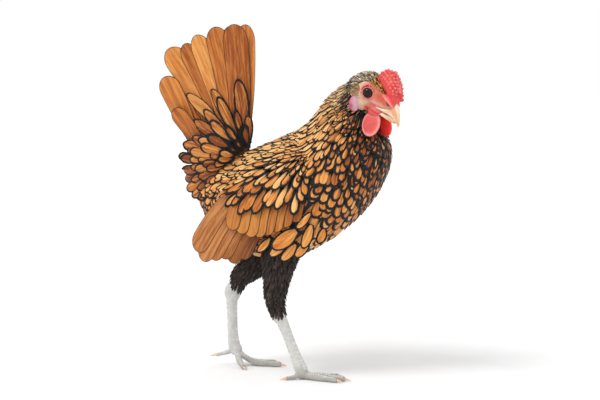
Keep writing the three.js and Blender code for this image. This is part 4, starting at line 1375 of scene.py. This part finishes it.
def crown_sizes(here):
    local = to_head(here)
    near = np.maximum(local[:, 2] - np.interp(local[:, 0], *CROWN_LINE.T), 0)
    small = 0.6 + 0.4 * ramp(near, 0, 6)
    # Painted shade behind the head: its lines widen the lacing, thin the down and darken the tone here too.
    black = painted_shade(here)
    dark = 1 + SHADE_DARKER - SHADE_DARKER * black
    return CROWN_SIZES * np.stack([small, small, small, small * black, 1 / black, dark], -1)


def on_crown(here, gold):
    """Above the face, behind the comb, and inside or outside the golden patch before the eye."""
    x, _, z = to_head(here).T
    below_comb = (z < np.interp(x, *COMB_EDGE.T)) | (x < 2)
    above = (x > CROWN_REAR) & (z > np.interp(x, *CROWN_LINE.T) + 0.2) & below_comb
    patch = np.hypot(x - GOLD_PATCH[0], z - GOLD_PATCH[1]) < GOLD_PATCH[2]
    return 1.0 * above * (patch == gold)


def crown_lie(here, normal, edges):
    return -unit(edges[0]) + np.array([0, 0, -0.15])


for name, gold, material in (("coat_crown", False, CROWN), ("coat_crown_gold", True, GOLDEN)):
    ends = ((0.0, 0.0), (1.0, 2 * np.pi))
    here_only = lambda here, at: on_crown(here, gold)
    at = spread(head, lambda here, at: crown_sizes(here)[:, 0], 30, *ends, keep=here_only)
    sizes = crown_sizes(head(at[:, 0], at[:, 1]))
    sizes[:, 4] *= 0.0 if gold else 1.0
    piece = coat(name, head, at, *ends, sizes, CROWN_FORM, 31, crown_lie, vary=CROWN_VARY)
    dress(piece, material, "plumage_neck")


def nearest(spots):
    """The index of the skin's point nearest to each spot."""
    return np.linalg.norm(spot[None] - spots[:, None], axis=-1).argmin(1)


def on_skin(near, along, lift=0.0, bend=0.0):
    """
    Lays vanes from the skin's own points of index near: foot + along · l + across · a, less
    normal · bend · l².
    """
    normal = vectors_of(skin.data, "normal")[near].astype(float)
    foot = spot[near] + normal * lift
    along = unit(along - normal * np.einsum("ij,ij->i", along, normal)[:, None])
    across = np.cross(along, normal)

    def lay(l, a):
        places = foot[:, None] + along[:, None] * l[..., None] + across[:, None] * a[..., None]
        places = places - normal[:, None] * (bend * l**2)[..., None]
        return places, np.broadcast_to(normal[:, None], places.shape)

    return lay


# The back of the head stands clear of the neck where the head turns away. Its feathers are spread by
# angle round a point in the head, on a lattice of triangles.
OCCIPUT_X, OCCIPUT_Z = -9.0, -1.5  # of that point, on the head
OCCIPUT_REACH, OCCIPUT_STEP = 68.0, 5.6  # degrees
OCCIPUT_FAR, OCCIPUT_AHEAD = 16.0, 2.0  # mm from that point to the skin taken, in all and forwards
OCCIPUT_MISS = 2.5  # degrees by which the skin may miss a place of the lattice
OCCIPUT_LIE, OCCIPUT_RUFFLE = (-0.5, 0, -1.0), 0.2
OCCIPUT_LIFT, OCCIPUT_PATCH = 0.5, 0.18
OCCIPUT_BEND = 0.038  # 1/mm, which is half of one over the head's radius
ROW_HIGH = 0.866  # of a lattice of triangles with sides of 1
i, j = np.mgrid[-14:15, -16:17]
lattice = OCCIPUT_STEP * np.stack([i + 0.5 * (j % 2), ROW_HIGH * j], -1).reshape(-1, 2)
lattice = lattice[np.hypot(*lattice.T) < OCCIPUT_REACH]
tilt, heading = np.radians(np.hypot(*lattice.T)), np.arctan2(lattice[:, 1], lattice[:, 0])
aim = np.stack([-np.cos(tilt), np.sin(tilt) * np.cos(heading), np.sin(tilt) * np.sin(heading)], -1)
away = to_head(spot) - (OCCIPUT_X, 0, OCCIPUT_Z)
close = np.flatnonzero((length_of(away)[:, 0] < OCCIPUT_FAR) & (away[:, 0] < OCCIPUT_AHEAD))
match = aim @ unit(away[close]).T
found = match.max(1) > np.cos(np.radians(OCCIPUT_MISS))
near = close[match.argmax(1)[found]]
rng = np.random.default_rng(38)
_, width, length, lace, down, tone = CROWN_SIZES
way = rng.normal(0, OCCIPUT_RUFFLE, (len(near), 3)) + OCCIPUT_LIE
lay = on_skin(near, way @ HEAD_AXES.T, 0.0, OCCIPUT_BEND)
every = np.ones(len(near))
long = length * rng.uniform(*SIZE_VARY, len(near))
tones = np.clip(tone + rng.uniform(-CROWN_VARY, CROWN_VARY, len(near)), 0, 1)
grain = OCCIPUT_PATCH * OCCIPUT_STEP / OCCIPUT_REACH
patch = (0.5 + lattice[found] / (2.2 * OCCIPUT_REACH), grain, grain)
piece = feathers("coat_occiput", lay, long, width / 2 * every, lace * every, tones, down * every, patch,
                 CROWN_FORM, 39, OCCIPUT_LIFT)
dress(piece, CROWN, "plumage_neck")

# Patches of small growth on the face: middle x and z and half sizes on the head, spacing, width, length,
# lacing, tone, lie on the head (x, z), and how far the tips stand up
FACE_PATCHES = {
    "ear_tuft": [-7.6, -1.8, 4.2, 5.2, 0.75, 0.7, 3.0, 0.08, 0.5, (-1.0, -0.35), 1.4],
    "cheek_bristles": [3.0, -6.5, 9.0, 7.5, 1.7, 0.24, 2.0, 0.03, 0.95, (-0.9, -0.6), 0.6],
    "lore_bristles": [12.5, 4.0, 4.4, 3.6, 1.15, 0.26, 1.9, 0.03, 0.95, (-0.5, 0.9), 0.4],
}
TUFT = plumage("face_bristle", "#ecd0a0", "#bd8c48", "#5d3b20", "#5a4030", "#6a6258", 0.4)
BRISTLE_FORM = {**SMALL, "thick": 0.1, "fall": 0.0, "camber": 0.1, "rank": 0.0, "roll": 10.0}
LIDS_TO = 6.0  # mm from the eye where the growth begins
CHEEK_OUT = 11.0  # mm from the head's middle, beyond its skin
for name, (mx, mz, wide, high, gap, width, length, lace, tone, lie, curl) in FACE_PATCHES.items():
    rng = np.random.default_rng(35)
    grid = np.meshgrid(np.arange(-wide, wide, gap), np.arange(-high, high, gap))
    steps = np.stack(grid, -1).reshape(-1, 2)
    steps = steps + rng.uniform(-0.4, 0.4, steps.shape) * gap
    steps = steps[np.hypot(steps[:, 0] / wide, steps[:, 1] / high) < 1]
    off_eye = steps + (mx - EYE_CENTRE[0] - LID_AHEAD, mz - EYE_CENTRE[2])
    steps = steps[np.hypot(*off_eye.T) > LIDS_TO]
    count = len(steps)
    form = {**BRISTLE_FORM, "curl": curl}
    grain = PATCH_FILL / np.sqrt(count)
    patch = (0.5 + steps / (2.2 * np.array([wide, high])), grain, grain)
    for side_name, leg in LEGS.items():
        local = stacked(mx + steps[:, 0], CHEEK_OUT * leg["side"], mz + steps[:, 1])
        way = rng.normal(0, 0.35, (count, 3)) + (lie[0], 0, lie[1])
        lay = on_skin(nearest(from_head(local)), way @ HEAD_AXES.T, -0.15)
        long = length * rng.uniform(0.6, 1.2, count)
        tones = np.clip(tone + rng.uniform(-0.4, 0.4, count), 0, 1)
        piece = feathers(f"coat_{name}_{side_name}", lay, long, np.full(count, width / 2),
                         np.full(count, lace), tones, np.zeros(count), patch, form, 36)
        dress(piece, GOLDEN if name == "lore_bristles" else TUFT, "plumage_neck")

# ---------------------------------------------------------------- the wings
# Each folded wing is a shield of coverts over two fans of quills. The coverts grow from small ovals at
# the shoulder to broad black-tipped ones in rows, and the quills have thin dark edges.
# Rows of the shield: upper x, z and distance out, lower x, z and distance out, half thickness
SHIELD_ROWS = np.array([
    [20, 202, 38, 22, 164, 47, 4.5],
    [7, 207, 29, 11, 152, 49, 6.5],
    [-9, 202, 25, -9, 145, 49, 7.5],
    [-26, 192, 29, -26, 143, 47.5, 7.5],
    [-42, 179, 32, -42, 147, 44, 6],
    [-54, 167, 34, -51, 157, 40, 4],
])
# How far the shield's front and top run in under the body's feathers
TUCK_FRONT, TUCK_TOP = 4.5, 6.0


def shield_row(x):
    """The columns of SHIELD_ROWS at x."""
    middle = (SHIELD_ROWS[:, 0] + SHIELD_ROWS[:, 3]) / 2
    row = between(SHIELD_ROWS, np.interp(-x, -middle, np.linspace(0, 1, len(middle))))
    return np.moveaxis(row, -1, 0)


def across_shield(x, z):
    """The shield's row at x, and how high z is on it: -1 at its lower edge and 1 at its upper one."""
    _, up_z, up_out, _, low_z, low_out, half = shield_row(x)
    return (2 * z - up_z - low_z) / (up_z - low_z), up_out, low_out, half


def shield(side):
    """
    The outside of a wing's coverts over x and z in units of 100 mm: a straight slope from the lower
    edge to the upper one, plus a bulge of half · √(1 - level²) that runs out straight below.
    """

    def surface(u, v):
        x, z = 100 * u, 100 * v
        level, up_out, low_out, half = across_shield(x, z)
        bulge = np.where(level > -0.5, np.sqrt(np.maximum(1 - level**2, 0.01)), 0.866 + (level + 0.5))
        slope = low_out + (up_out - low_out) * (np.clip(level, -1.6, 1.6) + 1) / 2
        tuck = TUCK_FRONT * ramp(x, 9, 22) + TUCK_TOP * ramp(level, 0.35, 1.0)
        return stacked(x, side * (slope + half * np.maximum(bulge, 0) - tuck), z)

    return surface


def towards_middle(here):
    return here * (1, 0.5, 1)


def wing_lie(here, normal, edges):
    """Away from the shoulder, and a little more downwards near the lower edge."""
    level = across_shield(here[:, 0], here[:, 2])[0]
    return from_shoulder(here) + np.array([0, 0, -0.95]) * ramp(-level, -0.8, 0.1)[:, None]


# Rows: level on the shield, spacing, width, length and lacing in mm, down, tone
COVERT_SIZES = np.array([
    [-1.0, 7.4, 9.0, 20, 1.4, 0.0, 0.45],
    [0.0, 7.0, 8.4, 19, 1.35, 0.0, 0.45],
    [0.5, 6.2, 7.0, 20, 1.2, 0.0, 0.6],
    [1.0, 5.6, 5.6, 24, 0.95, 0.0, 0.95],
])
NEAR_SHOULDER = 0.52  # of those sizes, close to the hub
WING_LACING = 1.25  # how much wider the black is than on the body
# Two rows of large coverts: level of their roots in front and behind, x of the first and last, count,
# width, length, lacing, tone, and how far they stand off
COVERT_BANDS = {
    "greater": [-0.25, 0.1, 15, -43, 10, 9.6, 25, 2.5, 0.45, 0.0],
    "median": [0.12, 0.4, 12, -42, 10, 9.0, 20, 2.2, 0.45, 0.7],
}
SHIELD_LOW, SHIELD_HIGH = (-0.56, 1.40), (0.22, 2.12)  # of x and z in units of 100 mm
COVERT_FORM = {**BODY_FORM, "fall": 2.6, "rank": 0.4, "tip": 0.36, "base": 0.4}
BAND_FILL = 0.3


def covert_sizes(at):
    level = across_shield(100 * at[:, 0], 100 * at[:, 1])[0]
    sizes = looked_up(COVERT_SIZES, level)
    away = np.hypot(100 * at[:, 0] - WING_HUB[0], 100 * at[:, 1] - WING_HUB[2])[:, None]
    sizes[:, :4] *= NEAR_SHOULDER + (1 - NEAR_SHOULDER) * ramp(away, 8, 48)
    sizes[:, 3] *= WING_LACING * LACING
    return sizes


def on_shield(here, at):
    level = across_shield(here[:, 0], here[:, 2])[0]
    low = np.where(here[:, 0] > 9, -0.75, 0.28)
    return 1.0 * (level > low) * (level < 1.08) * (here[:, 0] > -54)


# A row of quills: roots of the first and last (x, distance out, z), tips of some of them, count, half
# width, bow, how far each stands off from the one before, lacing, first and last tone. The rear ones
# lie on top.
WING_QUILLS = {
    "primaries": [
        [[-8, 42, 150], [-30, 36.5, 175]],
        [
            [-41, 43, 105.5], [-50.5, 42, 101.5], [-58.5, 41.5, 105],
            [-67.5, 40.5, 103.5], [-76.5, 39.5, 102], [-82.3, 38, 110],
        ],
        6, 9.0, 5.0, 0.45, 0.6, [0.35, 0.75],
    ],
    "secondaries": [
        [[18, 43, 166], [-32, 37, 172]],
        [[8, 49.5, 138], [-11, 50, 128], [-28, 48, 123.5], [-48, 44, 129]],
        8, 7.6, 3.5, 0.4, 0.5, [0.4, 0.9],
    ],
}
WING_TILT = 0.06
WING_FORM = {**QUILL_FORM, "camber": 0.05}
QUILL_DOWN, QUILL_ROUGH = "#4a3524", 0.5
WING_GOLD = {
    row_name: plumage(name, *hues, QUILL_DOWN, streaks, QUILL_ROUGH)
    for row_name, name, streaks, *hues in (
        ("primaries", "primary_feather", 0.28, "#c6854c", "#9d5b27", "#6c3614", "#6b3c1c"),
        ("secondaries", "secondary_feather", 0.22, "#ca843b", "#a25b20", "#743610", "#1a110d"),
    )
}

for side_name, leg in LEGS.items():
    side = leg["side"]
    surface = shield(side)
    ends = (SHIELD_LOW, SHIELD_HIGH)
    seed = 40 + side
    apart = lambda here, at: covert_sizes(at)[:, 0]
    at = spread(surface, apart, seed, *ends, keep=on_shield, core=towards_middle)
    piece = coat(f"wing_{side_name}_small_coverts", surface, at, *ends, covert_sizes(at), COVERT_FORM,
                 seed, wing_lie, core=towards_middle, lift=1.2)
    dress(piece, LACED_GOLD, "plumage_gold", f"wing_{side_name}_coverts")
    for band, row_of in COVERT_BANDS.items():
        fore, aft, first, last, count, width, length, lace, tone, lift = row_of
        x = np.linspace(first, last, count)
        _, up_z, _, _, low_z, _, _ = shield_row(x)
        level = np.linspace(fore, aft, count)
        z = (up_z + low_z) / 2 + level * (up_z - low_z) / 2
        at = np.stack([x, z], -1) / 100
        sizes = np.tile([width, width, length, lace, 0.0, tone], (count, 1))
        sizes[:, 1:3] *= np.interp(x, [-50, -35, 10, 20], [0.65, 1.0, 0.95, 0.7])[:, None]
        piece = coat(f"wing_{side_name}_{band}_coverts", surface, at, *ends, sizes, COVERT_FORM, seed + 3,
                     wing_lie, fill=BAND_FILL, core=towards_middle, lift=lift)
        dress(piece, LACED_GOLD, "plumage_gold")
    mirror = np.array([1, side, 1])
    for row_name, (roots, tips, count, half, bow, step, lace, tone) in WING_QUILLS.items():
        way = np.linspace(0, 1, count)
        tip_at = lambda share: between(tips, share) * mirror
        foot = between([roots[0], (np.array(roots[0]) + roots[1]) / 2, roots[1]], way) * mirror
        steps = tip_at(way + 0.05) - tip_at(way - 0.05)
        stack, tones = step * np.arange(count), np.linspace(*tone, count)
        piece = fan_of_quills(f"wing_{side_name}_{row_name}_quills", foot, tip_at(way), steps, half,
                              side * bow, stack, WING_TILT, lace, tones, WING_FORM, seed + 5, side)
        dress(piece, WING_GOLD[row_name], "plumage_gold", f"wing_{side_name}_{row_name}")

# ---------------------------------------------------------------- the tail
# Fourteen broad quills stand up in two fans that lean together like a roof. Laced coverts in layers
# hide their roots, nearly black close to the body, and point away from the tail's root all round.
TAIL_ROOT = np.array([-56.0, 2.0, 178.0])
TAIL_BOW = 3.0
TAIL_TILT = -0.05  # the rear edges stand up
TAIL_LEFT_TURN = -3.0  # degrees by which the left fan stands further forward
TAIL_STEP = 0.5  # mm by which each quill lies under the one before it
# Quills from the middle of the tail outwards: degrees from straight ahead, length, distance out, half
# width, tone
TAIL_ROWS = np.array([
    [91.0, 127, 4, 10.8, 0.3],
    [98.2, 126, 9, 10.2, 0.5],
    [106.0, 122.5, 12.5, 9.4, 0.6],
    [111.6, 118.5, 15.5, 8.6, 0.4],
    [118.0, 120.5, 19, 11.4, 0.5],
])
# The two outermost, which stand more upright: root and tip (x, distance out, z), and half width
OUTER_QUILLS = np.array([
    [-88, 14, 197, -115.8, 22.5, 259.5, 10.4],
    [-82, 15, 197, -107, 22.5, 232, 8.4],
])
# The surface that the coverts lie on runs on behind the fan: degrees, length and distance out
TAIL_SHEET = np.array([*TAIL_ROWS[:, :3], [124, 101, 23], [134, 99, 26], [144.8, 77, 28]])
# Rows of the block that the coverts cover, bottom up: front x and z, rear x and z, half width
COVERT_BLOCK = np.array([
    [-47, 188, -103, 164, 22],
    [-46, 203, -110, 190, 24],
    [-49, 221, -113, 213, 20],
    [-54, 240, -107, 232, 12],
    [-62, 255, -93, 249, 4],
])
TAIL_QUILL_FORM = {**QUILL_FORM, "camber": 0.05, "tip": 0.12, "round": 6}
TAIL_HUES = "#eaa65c", "#cd7c34", "#934819", "#1c120d"
TAIL_GOLD = plumage("tail_quill_feather", *TAIL_HUES, QUILL_DOWN, 0.25, QUILL_ROUGH)
TAIL_LACED = plumage("tail_covert_feather", "#db9850", "#b86d2c", "#7e3c13", LACE_BLACK, DARK_DOWN)

for side_name, leg in LEGS.items():
    side = leg["side"]
    mirror = np.array([1, side, 1])
    turn_by = TAIL_LEFT_TURN if side > 0 else 0.0
    way = np.linspace(0, 1, len(TAIL_ROWS))

    def tail_tip(share):
        degrees, length, out = np.moveaxis(between(TAIL_ROWS, share), -1, 0)[:3]
        angle = np.radians(degrees + turn_by)
        x, z = TAIL_ROOT[0] + length * np.cos(angle), TAIL_ROOT[2] + length * np.sin(angle)
        return stacked(x, side * out, z)

    roots = np.tile(TAIL_ROOT * mirror, (len(way), 1))
    along_fan = tail_tip(way + 0.05) - tail_tip(way - 0.05)
    stack = TAIL_STEP * (len(way) - 1 - np.arange(len(way)))
    piece = fan_of_quills(f"tail_{side_name}_quills", roots, tail_tip(way), along_fan, TAIL_ROWS[:, 3],
                          TAIL_BOW, stack, TAIL_TILT, 0.55, TAIL_ROWS[:, 4], TAIL_QUILL_FORM, 60 + side, side)
    dress(piece, TAIL_GOLD, "plumage_tail", f"tail_{side_name}")
    roots, tips = OUTER_QUILLS[:, :3] * mirror, OUTER_QUILLS[:, 3:6] * mirror
    rearward = np.tile([-0.9, 0.0, 0.4], (len(roots), 1))
    stack = TAIL_STEP * 2 * np.arange(len(roots))
    piece = fan_of_quills(f"tail_{side_name}_outer_quills", roots, tips, rearward, OUTER_QUILLS[:, 6],
                          0.0, stack, 0.0, 0.6, 0.35, TAIL_QUILL_FORM, 63 + side, side)
    dress(piece, TAIL_GOLD, "plumage_tail")


def tail_side(side):
    """
    A side of the tail over x and z in units of 100 mm: the larger of the quills' own surface and of
    the block of coverts, half · √(1 - (distance from its middle / its half length)²), rounded where
    they meet.
    """

    def surface(u, v):
        x, z = 100 * u, 100 * v
        angle = np.degrees(np.arctan2(z - TAIL_ROOT[2], x - TAIL_ROOT[0]))
        length, out = (np.interp(angle, TAIL_SHEET[:, 0], column) for column in TAIL_SHEET.T[1:])
        reach = np.hypot(x - TAIL_ROOT[0], z - TAIL_ROOT[2])
        sheet = 4.5 + (out - 2) * reach / length
        middle_z = (COVERT_BLOCK[:, 1] + COVERT_BLOCK[:, 3]) / 2
        rows = between(COVERT_BLOCK, np.interp(z, middle_z, np.linspace(0, 1, len(middle_z))))
        front, _, rear, _, half = np.moveaxis(rows, -1, 0)
        across = (2 * x - front - rear) / (front - rear)
        block = half * np.sqrt(np.maximum(1 - across**2, 0.0))
        return stacked(x, side * 0.5 * (sheet + block + np.sqrt((sheet - block) ** 2 + 9)), z)

    return surface


def to_middle_plane(here):
    return here * (1, 0, 1)


def tail_lie(here, normal, edges):
    return unit(here - TAIL_HUB * (1, 0, 1))


# Large coverts of one side: degrees from straight ahead, reach of the tip from the hub, half width,
# lacing, tone. The short ones lie over the long ones.
LARGE_COVERTS = np.array([
    [111, 76, 7.6, 0.9, 0.45],
    [125, 79, 5.8, 0.9, 0.8],
    [98, 66, 6.0, 1.6, 0.3],
    [111, 61, 6.9, 1.9, 0.3],
    [124, 65, 6.2, 1.5, 0.4],
    [153, 60, 6.2, 1.2, 0.55],
    [137, 60, 5.6, 1.4, 0.5],
    [127, 53, 6.4, 1.8, 0.35],
    [102, 45, 5.4, 2.2, 0.3],
    [152, 54, 6.4, 1.4, 0.5],
    [165, 56, 5.6, 1.3, 0.5],
    [117, 40, 5.2, 2.4, 0.25],
    [161, 46, 6.2, 1.5, 0.5],
    [141, 42, 5.6, 2.2, 0.3],
    [172, 48, 5.6, 1.4, 0.5],
    [163, 30, 5.2, 1.6, 0.55],
    [92, 38, 4.2, 1.2, 0.3],
    [100, 28, 4.6, 2.4, 0.2],
    [120, 26, 4.6, 2.6, 0.2],
    [142, 26, 4.6, 2.6, 0.2],
    [178, 30, 5.0, 1.8, 0.45],
])
COVERT_LENGTH = 0.66  # of the reach
COVERT_RISE = 0.045  # mm of height for each mm that a covert is shorter
TAIL_LOW, TAIL_HIGH = (-1.2, 1.62), (-0.4, 2.7)  # of x and z in units of 100 mm
TAIL_FORM = {
    **BODY_FORM, "straight": 4, "round": 5, "fall": 2.5, "tip": 0.38, "base": 0.35, "rank": 0.15,
    "roll": 3.0, "yaw": 2.0,
}
LARGE_FILL = 0.2
SMALL_COVERTS = np.array([5.6, 8.4, 16.0, 1.5, 0.0, 0.4])  # spacing, width, length, lacing, down, tone
# Where those grow: reach from the hub, and degrees round it from straight ahead
SMALL_REACH, SMALL_TURN = (12, 45.5), (163, 245)
LEFT_COVERTS_TURN = 8.0  # degrees by which those of the left side lean further back

for side_name, leg in LEGS.items():
    side = leg["side"]
    surface = tail_side(side)
    degrees, reach, half, lace, tone = LARGE_COVERTS.T
    rng = np.random.default_rng(70 + side)
    further = 0 if side < 0 else LEFT_COVERTS_TURN + rng.uniform(-3, 3, len(degrees))
    angle = np.radians(degrees + further)
    length = COVERT_LENGTH * reach
    away = stacked(np.cos(angle), np.sin(angle)) * ((reach - length) / 100)[:, None]
    at = TAIL_HUB[[0, 2]] / 100 + away
    lift = 0.4 + COVERT_RISE * (reach.max() - reach)
    sizes = np.stack([2 * half, 2 * half, length, LACING * lace, 0 * lace, tone], -1)
    ends = (TAIL_LOW, TAIL_HIGH)
    piece = coat(f"tail_{side_name}_large_coverts", surface, at, *ends, sizes, TAIL_FORM, 72 + side,
                 tail_lie, fill=LARGE_FILL, core=to_middle_plane, lift=lift)
    dress(piece, TAIL_LACED, "plumage_gold", "tail_coverts")

    def low_tail(here, at):
        """Below and behind the large coverts, and over the block's foot."""
        away = here - TAIL_HUB * (1, 0, 1)
        reach = np.hypot(away[:, 0], away[:, 2])
        angle = np.degrees(np.arctan2(away[:, 2], away[:, 0])) % 360
        in_reach = (reach > SMALL_REACH[0]) & (reach < SMALL_REACH[1])
        return 1.0 * (in_reach & (angle > SMALL_TURN[0]) & (angle < SMALL_TURN[1]))

    apart = lambda here, at: np.full(len(at), SMALL_COVERTS[0])
    at = spread(surface, apart, 80 + side, *ends, keep=low_tail, core=to_middle_plane)
    sizes = np.tile(SMALL_COVERTS, (len(at), 1))
    piece = coat(f"tail_{side_name}_small_coverts", surface, at, *ends, sizes, BODY_FORM, 82 + side,
                 tail_lie, core=to_middle_plane, lift=1.0)
    dress(piece, TAIL_LACED, "plumage_gold")

# ---------------------------------------------------------------- the thighs
# Soft loose feathers, nearly black, in a trouser that ends ragged above the hock.
THIGH_SIZES = np.array([2.7, 2.9, 9.0, 0.3, 0.35, 0.3])  # spacing, width, length, lacing, down, tone
THIGH_HUES = "#5c4a40", "#352a26", "#191311", "#120e0c", "#3b322d"
THIGH_DOWN = plumage("thigh_down_feather", *THIGH_HUES, rough=0.8)
THIGH_END = 0.9  # share of the thigh where the last feathers grow
THIGH_SINK = 0.8  # mm by which they root under the thigh's outline
DOWN_FORM = {**SMALL, "fall": 1.8, "curl": 0.9, "roll": 14.0, "yaw": 16.0, "rank": 0.5}


def leg_lie(here, normal, edges):
    return unit(edges[0]) - np.array([0, 0, 0.4])


for side_name, leg in LEGS.items():
    side = leg["side"]
    thigh = lambda share, turn: limb(leg["thigh"], side, share, turn, -THIGH_SINK)
    apart = lambda here, at: np.full(len(at), THIGH_SIZES[0])
    ends = ((0.0, 0.0), (THIGH_END, 2 * np.pi))
    at = spread(thigh, apart, 90 + side, *ends)
    sizes = np.tile(THIGH_SIZES, (len(at), 1))
    piece = coat(f"thigh_{side_name}_down", thigh, at, *ends, sizes, DOWN_FORM, 92 + side, leg_lie)
    dress(piece, THIGH_DOWN, "plumage_dark")

# ---------------------------------------------------------------- the scales
# Horny plates lap down the fronts and backs of the shanks and along the tops of the toes.
# Each is a broad thin plate, fixed along its upper edge.
SCALE_FORM = {
    "straight": 1, "round": 3, "rings": 2, "base": 0.92, "tip": 0.5, "thick": 0.32, "fall": 0.35,
    "camber": 0.0, "curl": 0.0, "roll": 0.0, "yaw": 2.0, "rank": 0.03,
}
SHANK_SCALES = [15, 5.4, 4.6]  # how many down a row, width and length in mm
SHANK_ROWS = [0.42, -0.42, np.pi - 0.5, np.pi + 0.5]  # their turns, two in front and two behind
SHANK_STAGGER = [0.0, 0.5, 0.0, 0.5]  # of a scale, by which each row starts lower
TOE_SCALES = [2.3, 0.95, 3.0]  # spacing, width over the toe's thickness, length
SCALE_PATCH, SCALE_RIM = 0.03, 0.45  # wide on the map, and mm of darker rim
SCALE_DARK, SCALE_PALE, SCALE_EDGE = "#b3b1a9", "#dcdbd6", "#8f8b82"
SCALE_GRAIN = 900.0  # per metre
scale_horn, tree = new_material("leg_scale_horn")
grain = noise_node(tree, object_place(tree), SCALE_GRAIN, 3.0)
tone = add_node(tree, "ShaderNodeSeparateXYZ", {0: stored_node(tree, "vane", "Vector")}).outputs["Z"]
slate = mix_node(tree, math_node(tree, "MULTIPLY_ADD", grain, 0.5, tone), SCALE_DARK, SCALE_PALE)
rim = range_node(tree, stored_node(tree, "edge", "Fac"), 0.0, 1.0, 0.55, 0.0)
end_material(tree, mix_node(tree, rim, slate, SCALE_EDGE), 0.45, (grain, 0.3, 0.0002))


def plates(name, surface, at, wide, long, lie, seed):
    """A row of scales on a limb's surface."""
    count = len(at)
    rng = np.random.default_rng(seed)
    lay = on_surface(surface, at, lie, np.zeros(count))
    patch = (on_map(at, at.min(0) - 0.05, at.max(0) + 0.05), SCALE_PATCH, SCALE_PATCH)
    tone = rng.uniform(0.2, 0.8, count)
    long, half, lace = np.full(count, long), np.ones(count) * wide / 2, np.full(count, SCALE_RIM)
    return feathers(name, lay, long, half, lace, tone, np.zeros(count), patch, SCALE_FORM, seed)


def down_the_leg(here, normal, edges):
    return unit(edges[0])


for side_name, leg in LEGS.items():
    side = leg["side"]
    shank = lambda share, turn: limb(leg["shank"], side, share, turn)
    count, wide, long = SHANK_SCALES
    share = np.linspace(0.1, 0.93, count)
    stagger = np.repeat(SHANK_STAGGER, count) * (share[1] - share[0])
    turn = np.mod(np.repeat(SHANK_ROWS, count), 2 * np.pi)
    at = stacked(np.tile(share, len(SHANK_ROWS)) + stagger, turn)
    piece = plates(f"shank_{side_name}_scales", shank, at, wide, long, down_the_leg, 95 + side)
    dress(piece, scale_horn, "leg_scales")
    for toe_name, toe in leg["toes"].items():
        toe_top = lambda share, turn: toe_skin(leg, toe, share, turn)
        spacing, width, long = TOE_SCALES
        share = np.arange(0.12, 0.93, spacing / toe[0])
        at = stacked(share, 1e-3)
        wide = 2 * width * toe_line(leg, toe, share)[1]
        name = f"foot_{side_name}_{toe_name}_scales"
        piece = plates(name, toe_top, at, wide, long, down_the_leg, 97 + side)
        dress(piece, scale_horn, "leg_scales")

# ---------------------------------------------------------------- the claws
# Short curved cones of horn, pale pink-brown, growing out of the toes' ends.
CLAW_LONG, CLAW_SINK = 7.5, 1.5  # mm in all, and inside the toe
CLAW_THICK, CLAW_TIP = 1.7, 0.35  # radius at the root and at the tip
CLAW_SLIM = 0.8  # of the height, sideways
CLAW_ARCH, CLAW_DROOP = 0.4, 0.5
CLAW_DARK, CLAW_PALE = "#d8a184", "#f0cdb4"
CLAW_LAYERS = 700.0  # per metre
claw_horn, tree = new_material("claw_horn")
layers = noise_node(tree, object_place(tree), CLAW_LAYERS, 3.0)
end_material(tree, mix_node(tree, layers, CLAW_DARK, CLAW_PALE), 0.35, (layers, 0.3, 0.0002))
for side_name, leg in LEGS.items():
    for toe_name, toe in leg["toes"].items():
        heading = np.radians(toe[1])
        end = toe_line(leg, toe, np.array([1.0]))[0][0]
        ahead = np.array([np.cos(heading), np.sin(heading), 0.0])
        across = np.array([-np.sin(heading), np.cos(heading), 0.0])
        way = shares(16)
        droop = (end[2] - toe[3]) * CLAW_DROOP * way - CLAW_ARCH * np.sin(np.pi * way)
        centre = end + (CLAW_LONG * way - CLAW_SINK) * ahead - droop * UPWARD
        radius = (CLAW_THICK + (CLAW_TIP - CLAW_THICK) * way)[:, None]
        rings = oval(centre[:, None], UPWARD * radius, CLAW_SLIM * across * radius, turns(18))
        claw = piece_of(f"claw_{side_name}_{toe_name}_horn", [closed(rings, (0.4, 0.3))])
        dress(claw, claw_horn, "claw_horn", f"claw_{side_name}_{toe_name}")

low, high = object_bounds()
sizes = {"cad": [list(cad_low), list(cad_high)], "visual": [list(low), list(high)]}
